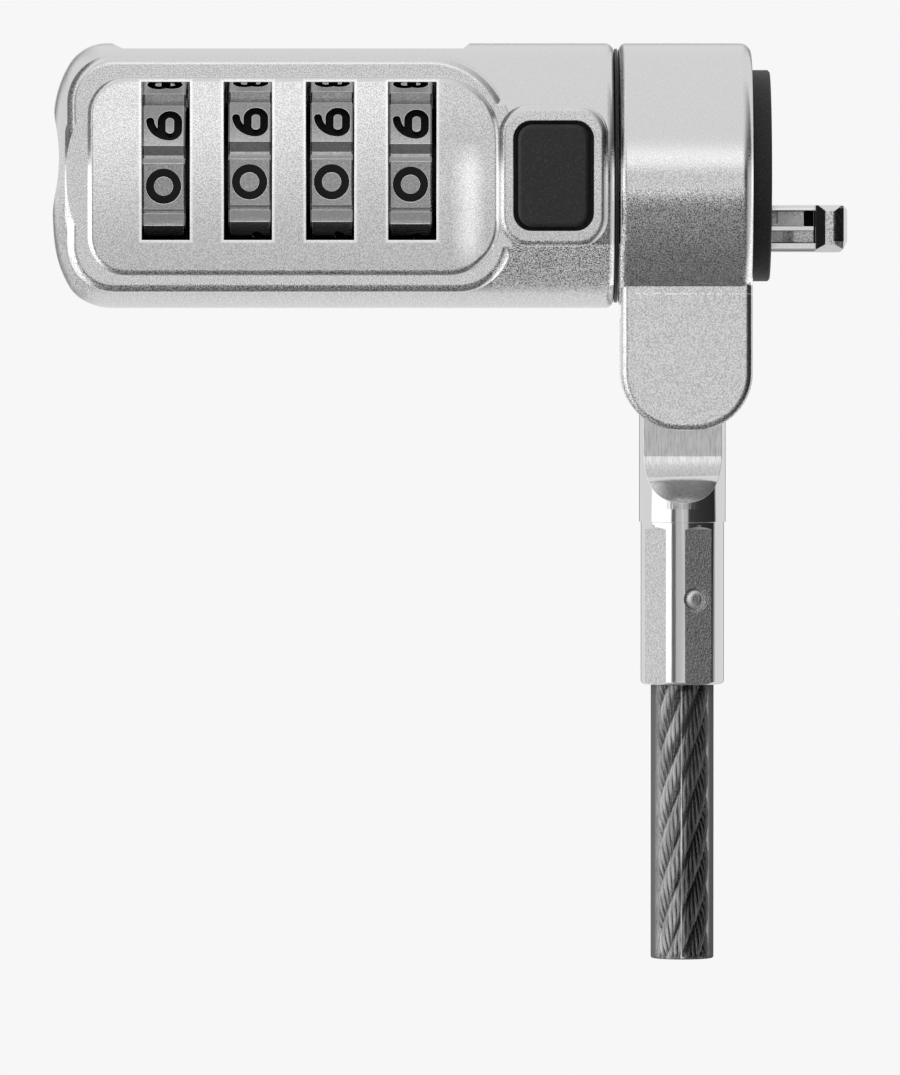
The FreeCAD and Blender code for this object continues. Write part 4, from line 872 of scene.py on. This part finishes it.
def pale_floor():
    """A plain floor just below the cable's cut end. It glows evenly, so it shows as one pale tone."""
    low, _ = cad_box
    height = low.z - FLOOR_GAP * MM
    mesh = bpy.data.meshes.new("floor")
    half = FLOOR_HALF
    corners = [(-half, -half, height), (half, -half, height), (half, half, height), (-half, half, height)]
    mesh.from_pydata(corners, [], [(0, 1, 2, 3)])
    s = Shader("floor")
    light = s.node("ShaderNodeEmission")
    light.inputs["Color"].default_value = grey(PALE)
    s.tree.links.new(light.outputs[0], s.out.inputs[0])
    mesh.materials.append(s.material)
    obj = bpy.data.objects.new("floor", mesh)
    bpy.context.scene.collection.objects.link(obj)
    obj.visible_glossy = False
    obj.visible_diffuse = False
    obj.visible_shadow = False


CAMERA_DISTANCE = 700
CAMERA_X = -20.254
CAMERA_DROP = 22.97        # the picture's middle lies this far below the barrel's axis
VIEW_WIDTH = 57.143        # what the picture takes in across, at the barrel's axis
SENSOR_WIDTH = 36.0
NEAREST, FARTHEST = 0.01, 20    # what the camera can see, in metres


def camera():
    """Long lens at the barrel's height, square to the dials, tipped down to take in the cable."""
    made = bpy.data.cameras.new("camera")
    made.sensor_fit = "HORIZONTAL"
    made.sensor_width = SENSOR_WIDTH
    made.lens = SENSOR_WIDTH * CAMERA_DISTANCE / VIEW_WIDTH
    made.clip_start = NEAREST
    made.clip_end = FARTHEST
    obj = bpy.data.objects.new("camera", made)
    obj.location = (CAMERA_X * MM, -CAMERA_DISTANCE * MM, 0)
    obj.rotation_euler = (math.radians(90) - math.atan(CAMERA_DROP / CAMERA_DISTANCE), 0, 0)
    bpy.context.scene.collection.objects.link(obj)
    bpy.context.scene.camera = obj


# ---------------------------------------------------------------- the whole object

STEEL = (0.60, 0.60, 0.61, 1.0)
BLACKED = (0.020, 0.020, 0.021, 1.0)
SPRING_STEEL = (0.50, 0.51, 0.54, 1.0)

dress(cast_satin("satin_nickel_front", crowned=True), "barrel_shell")
dress(cast_satin(), "swivel_collar", "nose_hub")
for dial_number in range(1, 5):
    dress(numeral_dial(dial_number), f"dial_{dial_number}")
    dress(machined(f"blacked_tumbler_{dial_number}", BLACKED, 0.40), f"tumbler_{dial_number}")
dress(soft_black("black_button", 0.024, 9.0, 0.014, 0.34, 0.075, lined="button_cap"), "button_cap")
dress(soft_black("black_rubber", 0.024, 8.0, 0.050, 0.50, 0.040), "face_pad")
dress(soft_black("black_washer", 0.012, 9.0, 0.006, 0.40, 0.10), "swivel_washer")
dress(crimped(), "cable_ferrule")
dress(polished("bright_nickel", 0.84, 0.10, wave=0.3), "clevis_pin", "hub_pins")
dress(polished("set_pin_steel", 0.95, 0.42), "ferrule_pin")
dress(tip_nickel(), "t_bar")
dress(cast_satin("slider_nickel", 0.05), "lock_slider")
dress(polished("blade_nickel", 0.95, 0.14), "lock_blade")
dress(machined("machined_steel", STEEL, 0.26), "collar_retainer", "retainer_screws", "t_bar_pin",
      "slider_pin", "reset_screw", "comb_rivets", "carriage", "combination_spindle", "button_plunger")
dress(machined("blacked_brass", BLACKED, 0.40), "end_bush", "end_plate", "dial_spacers")
dress(machined("spring_steel", SPRING_STEEL, 0.24), "detent_comb")
wire_rope(rope_wire())
jacket(smoke_vinyl())
spring(machined("spring_wire", SPRING_STEEL, 0.24))

pale_floor()
studio()
camera()
bpy.context.scene.view_settings.view_transform = "Standard"
